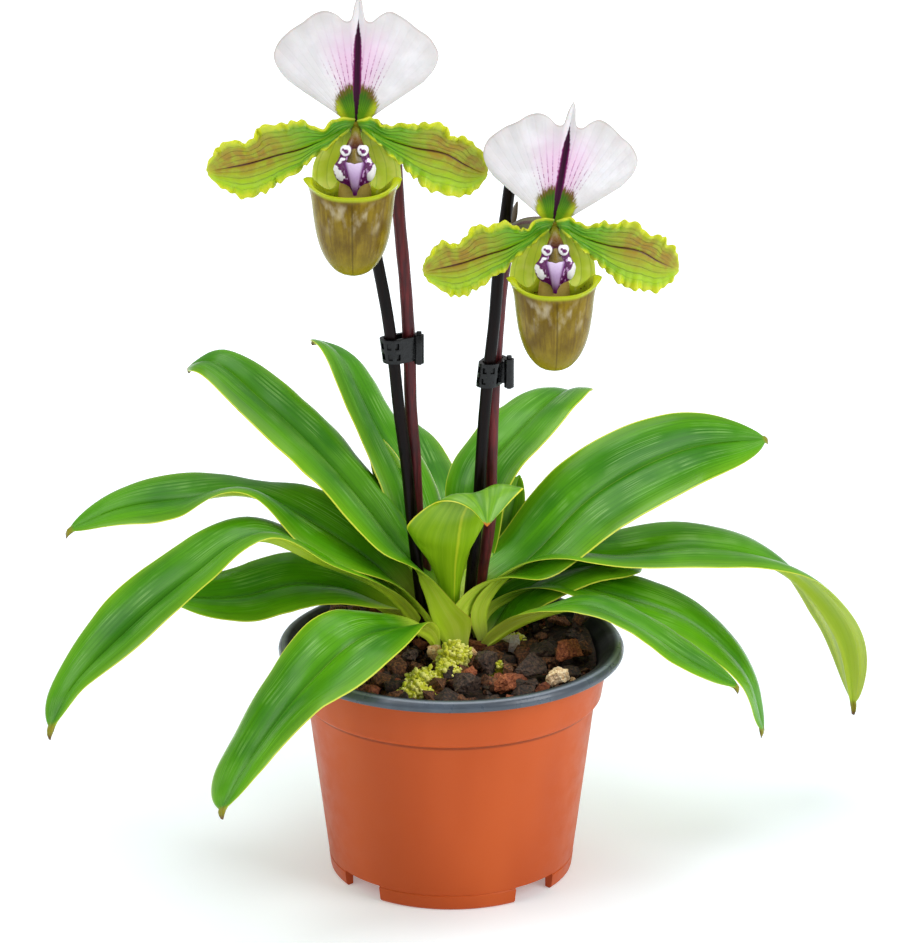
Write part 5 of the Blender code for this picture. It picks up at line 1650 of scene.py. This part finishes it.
def pouch_finish():
    """Glossy olive-brown slipper: fine veins, painted highlights, yellow rim, speckled inside."""
    f = Finish("olive pouch", 0.34, Coat_Weight=0.12, Coat_Roughness=0.14, Specular_IOR_Level=0.12)
    down = f.stored("down")
    around = f.stored("around")
    inside = f.stored("inside")
    mottle = f.grain(4.5, 4, 0.6, (1, 1, 0.55))
    lines = f.streaks(around, down, 0.1, 0.8, 2)
    skin = f.blend(f.fade(mottle, 0.32, 0.7), (98, 76, 14), (136, 114, 28))
    skin = f.blend(f.fade(lines, 0.45, 0.7, 0, 0.5), skin, (84, 58, 14))
    aside = abs(around)
    skin = f.blend(f.fade(aside, 0.9, 1.7, 0, 0.75), skin, (150, 150, 28))
    skin = f.blend(f.fade(down, 0.55, 1.0, 0, 0.7), skin, (150, 136, 28))
    # painted highlight: pale streaky gloss patches on the upper front
    highlight_band = f.fade(down, 0.04, 0.14) * f.fade(down, 0.5, 0.24) * f.fade(aside, 1.0, 0.6)
    highlight_streaks = f.streaks(around, down, 0.3, 0.26, 4)
    skin = f.blend(highlight_band * f.fade(highlight_streaks, 0.45, 0.7, 0, 0.6), skin, (206, 194, 164))
    seam = f.fade(aside, 0.035, 0.008) * f.fade(down, 0.02, 0.1)
    skin = f.blend(seam * 0.6, skin, (74, 58, 18))
    lining = f.blend(f.fade(f.grain(0.9, 2), 0.6, 0.68), (158, 172, 34), (96, 62, 20))
    skin = f.blend(inside, skin, lining)
    skin = f.blend(f.fade(down, 0.06, 0.012), skin, (168, 180, 22))
    f.colour(skin)
    f.roughness(f.fade(mottle, 0.3, 0.7, 0.34, 0.18))
    f.emboss(lines, 0.12)
    f.emboss(f.grain(1.4, 3), 0.1)
    return f.material


def column_finish():
    """Waxy shield and hood, coloured from the values stored on them."""
    f = Finish("waxy column", 0.3, Specular_IOR_Level=0.35, Coat_Weight=0.25, Coat_Roughness=0.12)
    tint = f.stored("tint", 0)
    f.colour(f.blend(f.fade(f.grain(0.7, 3), 0.5, 0.8, 0, 0.22), tint, (250, 246, 250), "MULTIPLY"))
    f.roughness(f.fade(f.grain(0.8, 2), 0.3, 0.7, 0.2, 0.38))
    f.emboss(f.grain(0.5, 2), 0.06)
    return f.material


def neck_finish():
    """Ribbed purple-brown neck with green showing between the ribs."""
    f = Finish("ovary", 0.5, Sheen_Weight=0.3)
    rib = f.math("SINE", f.stored("around") * 6.0)
    colour = f.blend(f.fade(rib, -0.6, 0.7), (96, 96, 34), (84, 34, 36))
    colour = f.blend(f.fade(f.grain(1.2, 3), 0.45, 0.75, 0, 0.5), colour, (58, 26, 28))
    f.colour(colour)
    f.emboss(f.grain(0.5, 3), 0.12)
    return f.material


def bract_finish():
    """Short olive-brown bract, streaked and purple at its foot."""
    f = Finish("bract", 0.5, Sheen_Weight=0.2)
    streak = f.streaks(f.stored("across"), f.stored("along"), 0.15, 0.7, 2)
    colour = f.blend(f.fade(streak, 0.35, 0.7), (74, 52, 30), (104, 84, 42))
    colour = f.blend(f.fade(f.stored("along"), 0.45, 0.0, 0, 0.8), colour, (92, 44, 44))
    f.colour(colour)
    f.emboss(streak, 0.12)
    return f.material


def make_sepal(side, flower, looks):
    """The upright fan: a shallow dish, waved at its margin, creased to a thin point."""

    def spot(v, even):
        """Sideways place, rise, share of the half fan and direction."""
        u = math.copysign(abs(even) ** 1.3, even)
        rise = read_smooth(SEPAL_RIM, abs(u)) * v
        angle = math.radians(flower["fans"][0 if u < 0 else 1] * u)
        return rise * math.sin(angle) + 2.8 * u * (1 - v), rise, u, angle

    def point(v, even):
        x, rise, u, angle = spot(v, even)
        depth = 2.2 - 3.0 * v + 5.5 * (u * v) ** 2
        depth += 0.9 * math.exp(-(x / 1.2) ** 2) * v
        depth += 1.3 * v ** 3 * math.sin(9.5 * u + 1.3) * abs(u)
        depth += 0.5 * v ** 6 * math.sin(31 * u)
        return in_flower(flower, (x, depth, rise * math.cos(angle) - 0.8 * (1 - v) ** 6), flower["lean"])

    marks = {"side": lambda v, u: spot(v, u)[0], "rise": lambda v, u: spot(v, u)[1],
             "fan": lambda v, u: spot(v, u)[2], "reach": lambda v, u: v}
    sheet = closed_sheet(f"dorsal_sepal_{side}_finished", sheet_grid(44, 121, point), 0.7, marks, looks)
    fit(sheet, "sepal", f"dorsal_sepal_{side}")


def make_synsepal(side, flower, looks):
    """The fused lower sepal, a scoop behind the pouch."""

    def point(v, u):
        depth = 3.4 + 3.0 * v - 2.0 * u * u * math.sin(math.pi * v) + 0.5 * math.sin(7 * v + 5 * u) * u * u
        return in_flower(flower, (read_smooth(SYNSEPAL_HALVES, v) * u, depth, -3.0 - 25.1 * v))

    sheet = closed_sheet(f"synsepal_{side}_finished", sheet_grid(30, 41, point), 0.8, ALONG_ACROSS, looks)
    fit(sheet, "synsepal", f"synsepal_{side}")


def make_petal(name, flower, outline, hand, stretch, seed, looks):
    """A spreading petal with a channelled midvein and crisped margins."""
    rows, cols = 150, 37
    spine, upper, lower = [smooth_curve([(x, 0, z) for x, z in outline[line]], rows)
                           for line in ("spine", "upper", "lower")]

    def point(t, even):
        i = round(t * (rows - 1))
        open_share = ease(t / 0.2) * (1 - t ** 10)
        s = math.copysign(1 - (1 - abs(even)) ** 1.25, even)
        way = math.copysign(1, s)
        margin = upper[i] if s > 0 else lower[i]
        out = (margin - spine[i]).normalized()
        drift = noise.noise(Vector((t * 5, way * 3, seed)))
        strong = 0.65 + 0.7 * noise.noise(Vector((t * 9, way * 7, seed + 5)))
        quick = 86 * t + 5 * drift + way + seed
        frill = math.sin(quick) * strong * open_share
        p = spine[i].lerp(margin, abs(s)) + out * (0.66 * frill * abs(s) ** 4)
        crisp = abs(s) ** 4.5 * open_share
        wave = math.sin(43 * t + 2.5 * drift + 2.2 * way + seed) + 0.7 * math.cos(quick)
        depth = 1.3 * crisp * wave - 1.6 * math.sin(math.pi * t) - 1.2 * s * s * (1 - t)
        depth += 0.22 * math.sin(26 * s) * (1 - abs(s)) * open_share
        depth += (0.8 * math.exp(-(s / 0.07) ** 2) * (1 - t ** 3) + 2.2 * t ** 3
                  - 2.4 * (1 - ease(t / 0.12)))
        return in_flower(flower, (hand * (1 + (p.x - 1) * stretch), depth, p.z))

    grid = sheet_grid(rows, cols, point)
    if hand > 0:
        grid = [list(reversed(row)) for row in grid]
    marks = {"along": lambda v, u: v, "across": lambda v, u: -hand * u}
    fit(closed_sheet(name + "_finished", grid, 0.75, marks, looks), "petal", name)


def pouch_rim_lift(angle):
    """How far the rim stands above its front, with an ear at each side."""
    back = (1 - math.cos(angle)) / 2
    ears = abs(math.sin(angle)) ** 3
    return POUCH_BACK * back ** 9 + POUCH_EARS * ears + POUCH_CLAW * back ** 40


def pouch_point(flower, a, share, wall, lift_more, curl):
    """A point of the pouch, at angle `a` from its front and `share` of the way down."""
    half, depth, middle = [read_smooth([(row[0], row[k]) for row in POUCH_ROWS], share) for k in (1, 2, 3)]
    flare = math.exp(-share / 0.02) * 0.5
    turned_in = curl * POUCH_CURL * math.sin(a) ** 6 * math.exp(-share / 0.06)
    x = POUCH_MIDDLE + (half - wall + flare - turned_in) * math.sin(a)
    y = middle - (depth - wall + flare) * math.cos(a)
    lift = pouch_rim_lift(a) * (1 - share) ** 2
    z = POUCH_TOP - (POUCH_DROP - wall * 0.8) * share + lift + lift_more
    crease = 0.35 * math.exp(-(math.sin(a / 2) / 0.02) ** 2) * ease(share / 0.1)
    return in_flower(flower, (x, y + crease * (1 - share), z))


def make_pouch(side, flower, looks):
    """The slipper: a thin hollow pouch with a rolled rim and turned-in ears."""
    sides, rows = 96, 44
    shares = [(k / (rows - 1)) ** 1.15 * 0.985 for k in range(rows)]
    # up the outside, over the rim and down the inside: share, wall, lift, curl
    rings = [(share, 0.0, 0.0, 0.0) for share in reversed(shares)]
    rings += [(0.0, POUCH_WALL * 0.4, 0.5, 0.35), (0.0, POUCH_WALL * 0.8, 0.4, 0.8)]
    rings += [(share, POUCH_WALL, 0.0, 1.0) for share in shares]
    turns = [2 * math.pi * k / sides for k in range(sides)]
    signed = [a if a <= math.pi else a - 2 * math.pi for a in turns]
    verts = [pouch_point(flower, a, *ring) for ring in rings for a in turns]
    marks = {"down": [ring[0] for ring in rings for k in turns], "around": signed * len(rings),
             "inside": [float(ring[3] == 1.0) for ring in rings for k in turns]}
    last = (len(rings) - 1) * sides
    faces = ring_faces(len(rings), sides)
    faces += [tuple(reversed(range(sides))), tuple(last + k for k in range(sides))]
    mesh = new_mesh(f"pouch_{side}_finished", verts, faces, marks)
    turn_out(mesh)
    dress(f"pouch_{side}_finished", mesh, looks, "pouch", f"pouch_{side}", crease=70)


# tones of the column
PURPLE = paint(92, 4, 84)
LILAC = paint(206, 170, 226)
CLEAR_WHITE = paint(248, 244, 250)
OCHRE = paint(146, 120, 34)
MAROON = paint(64, 12, 20)
TAN = paint(232, 200, 116)
TAN_EDGE = paint(166, 128, 56)
HOOD_TINTS = [(0.0, OCHRE), (0.45, paint(122, 120, 24)), (0.65, paint(112, 78, 18)), (0.85, MAROON),
              (1.0, MAROON)]


def plate_half(z):
    """Half width of the shield's hanging plate at a height in the flower's frame."""
    return PLATE_HALF * (1 - (PLATE_TOP - z) / PLATE_DROP)


def shield_tint(x, z):
    """Colour on the shield at x, z in the flower's frame."""
    spot = Vector((x, z))
    for eye in EYES:
        off = spot - Vector(eye)
        if off.length < EYE_RADIUS:
            dot = (off - Vector((0.2, -0.1))).length
            tear = (off - Vector((-0.45, 0.3))).length
            return PURPLE if min(dot, tear + 0.15) < 0.48 else CLEAR_WHITE
    x += 0.3
    off = abs(x)
    plate = plate_half(z)
    if z < PLATE_TOP and off < plate:
        edge = ease((off / plate - 0.5) / 0.4)
        # painted highlight: the plate is paler at its top
        face = blend_paint(paint(226, 204, 240), LILAC, ease((PLATE_TOP - z) / 5))
        return blend_paint(face, paint(110, 8, 118), max(edge, ease((-17.5 - z) / 4)))
    boss = read_table([(PLATE_TOP, 2.7), (BOSS_TOP, 0.5)], z)
    if PLATE_TOP <= z < BOSS_TOP and off < boss:
        return blend_paint(paint(124, 104, 36), paint(66, 46, 14), off / boss)
    # the white lobes, and painted highlights on the purple arms
    for start, end, half in PATCHES:
        start, end = Vector(start), Vector(end)
        share = min(max((spot - start).dot(end - start) / (end - start).length_squared, 0.0), 1.0)
        far = (spot - start.lerp(end, share)).length
        if far + 0.5 * noise.noise(Vector((x * 1.1, z * 1.1, 1.7))) < half:
            return CLEAR_WHITE
    if noise.noise(Vector((x * 1.3, z * 0.7, 4.2))) > 0.34:
        return paint(200, 150, 208)
    return PURPLE


def make_shield(side, flower, looks):
    """The two-eyed shield with its hanging plate."""
    low, high = SHIELD_OUTLINE[0][0], SHIELD_OUTLINE[-1][0]
    rows, cols = 84, 65

    def spot(v, u):
        z = low + (high - low) * round(v * (rows - 1)) / (rows - 1)
        return read_table(SHIELD_OUTLINE, z) * u - 0.3, z

    def point(v, u):
        x, z = spot(v, u)
        away = abs(x + 0.3)
        y = -9.2 + 0.035 * away ** 2 + 0.02 * (z + 15) ** 2
        for ex, ez in EYES:
            near = math.hypot(x - ex, z - ez) / EYE_RADIUS
            if near < 1:
                y -= 1.5 * math.sqrt(1 - near ** 2)
        if z < PLATE_TOP:
            plate = max(plate_half(z), 0.3)
            y -= 0.9 * max(0.0, 1 - (away / plate) ** 2) * ease((PLATE_TOP - z) / 0.5)
        elif away < 3 and z < BOSS_TOP:
            y -= 1.1 * max(0.0, 1 - away / read_table([(PLATE_TOP, 2.7), (BOSS_TOP, 0.6)], z))
        ridge = math.exp(-((away - read_table([(-17, 5.2), (-12, 4.4), (-8, 3.0)], z)) / 0.9) ** 2)
        y -= 0.8 * ridge * ease((z + 19) / 3)
        notch = ease((1.6 - abs(z + 5.9)) / 1.6) * ease((1.9 - away) / 1.9)
        return in_flower(flower, (x, y, z - 1.6 * notch))

    marks = {"tint": lambda v, u: shield_tint(*spot(v, u))}
    fit(closed_sheet(f"shield_{side}", sheet_grid(rows, cols, point), 1.0, marks, looks, 75), "column")


def make_hood(side, flower, looks):
    """The hooked arm from the ovary to the top of the shield."""
    stations, sides = 26, 28
    shares = [k / (stations - 1) for k in range(stations)]
    points = [in_flower(flower, p) for p in smooth_curve(HOOD_PATH, stations)]
    widths, depths = [[read_smooth(table, share) * flower["size"] for share in shares]
                      for table in (HOOD_WIDTHS, HOOD_DEPTHS)]
    tint = []
    for share in shares:
        lower = max(stop for stop in HOOD_TINTS if stop[0] <= share)
        upper = min(stop for stop in HOOD_TINTS if stop[0] >= share)
        tint += [blend_paint(lower[1], upper[1],
                             (share - lower[0]) / max(upper[0] - lower[0], 1e-6))] * sides
    marks = {"tint": tint + [OCHRE, MAROON]}
    mesh = tube_mesh(f"hood_{side}", points, widths, depths, sides, (0, -1, 1), marks)
    dress(f"hood_{side}", mesh, looks, "column", f"column_{side}")


def make_tongue(side, flower, looks):
    """The pale tongue that shows between the shield and the pouch."""

    def point(v, u):
        half = read_smooth([(0, 5.6), (0.5, 5.2), (1.0, 4.2)], v)
        return in_flower(flower, (half * u - 0.4, -6.6 + 1.6 * u * u - 1.4 * v, -25.5 + 9.5 * v))

    marks = {"tint": lambda v, u: blend_paint(TAN, TAN_EDGE, abs(u) ** 4)}
    fit(closed_sheet(f"tongue_{side}", sheet_grid(24, 29, point), 0.8, marks, looks), "column")


def make_neck(side, flower, path, looks):
    """The ribbed neck from the stem's end to the back of the column."""
    stations = 60
    into = in_flower(flower, (0, 7.8, -3.6))
    back = in_flower(flower, (0, 4.0, -3))
    points = smooth_curve([*path, into, back], stations)
    radii = [read_smooth(NECK_RADII, k / (stations - 1)) for k in range(stations)]
    mesh = tube_mesh(f"ovary_{side}_finished", points, radii, radii, 36,
                     ribs=lambda t, a: 1 + 0.06 * math.sin(6 * a) * math.sin(math.pi * t) ** 0.5)
    dress(f"ovary_{side}_finished", mesh, looks, "ovary", f"ovary_{side}")


def make_bract(side, base, tip, turn, looks):
    """A short pointed leaf that hugs the neck."""
    base = Vector(base)
    reach = Vector(tip) - base
    axis = reach.normalized()
    across = Matrix.Rotation(math.radians(turn), 3, axis) @ axis.orthogonal().normalized()
    up = across.cross(axis)

    def point(v, u):
        half = read_smooth([(0, 1.2), (0.25, 2.6), (0.5, 2.8), (0.75, 1.9), (1.0, 0.12)], v)
        return base + reach * v + across * (half * u) + up * (1.1 * half / 2.8 * u * u)

    sheet = closed_sheet(f"bract_{side}_finished", sheet_grid(28, 17, point), 0.6, ALONG_ACROSS, looks)
    fit(sheet, "bract", f"bract_{side}")


def dress_flowers():
    """Both flowers, piece by piece."""
    sepal, synsepal, petal, pouch = sepal_finish(), synsepal_finish(), petal_finish(), pouch_finish()
    column, neck, bract = column_finish(), neck_finish(), bract_finish()
    for side, flower in FLOWERS.items():
        make_sepal(side, flower, sepal)
        make_synsepal(side, flower, synsepal)
        for name, (outline, hand, stretch, seed) in PETALS[side].items():
            make_petal(name, flower, outline, hand, stretch, seed, petal)
        make_pouch(side, flower, pouch)
        make_shield(side, flower, column)
        make_hood(side, flower, column)
        make_tongue(side, flower, column)
        make_neck(side, flower, NECKS[side], neck)
        make_bract(side, *BRACTS[side], bract)


# --- stage

def lay_floor():
    """A pale floor that brightens away from the pot."""
    f = Finish("pale floor", 0.6)
    f.colour(f.blend(f.grain(400, 2), (232, 244, 250), (235, 246, 252)))
    far = f.vector("LENGTH", f.place((MM, MM, MM)))
    f.shader.inputs["Emission Color"].default_value = (1, 1, 1, 1)
    f.feed(f.shader.inputs["Emission Strength"], f.fade(far, 0.1, 0.8, 0.25, 0.75))
    mesh = bpy.data.meshes.new("floor")
    corners = [(x * FLOOR_REACH, y * FLOOR_REACH, 0) for x, y in ((-1, -1), (1, -1), (1, 1), (-1, 1))]
    mesh.from_pydata(corners, [], [(0, 1, 2, 3)])
    mesh.materials.append(f.material)
    put("floor", mesh)


def hang_softbox(name, spot, target, size, power):
    """A rectangular lamp that faces its target, in metres about the pot's axis."""
    light = bpy.data.lights.new(name, "AREA")
    light.shape = "RECTANGLE"
    light.size, light.size_y = size
    light.energy = power
    lamp = put(name, light)
    lamp.location = AXIS + Vector(spot)
    lamp.rotation_euler = (AXIS + Vector(target) - lamp.location).to_track_quat("-Z", "Y").to_euler()


def set_stage():
    """The floor, soft studio light and the camera."""
    scene = bpy.context.scene
    scene.view_settings.view_transform = "Standard"
    lay_floor()
    world = bpy.data.worlds.new("studio")
    scene.world = world
    world.use_nodes = True
    backdrop = world.node_tree.nodes["Background"]
    backdrop.inputs["Color"].default_value = (1, 1, 1, 1)
    backdrop.inputs["Strength"].default_value = 0.4
    for name, lamp in LAMPS.items():
        hang_softbox(name, *lamp)
    camera = bpy.data.cameras.new("camera")
    camera.lens = LENS
    camera.sensor_width = 36
    camera.shift_x = CAMERA_SHIFT
    camera.clip_start = 0.05
    camera.clip_end = 50
    scene.camera = put("camera", camera)
    scene.camera.location = AXIS + Vector((0, -EYE_BACK, EYE_HEIGHT)) * MM
    scene.camera.rotation_euler = (math.radians(90 - LOOK_DOWN), 0, 0)


set_stage()
dress_pot()
dress_bed()
dress_stones()
dress_moss()
dress_leaves()
dress_stalks()
dress_clips()
dress_flowers()
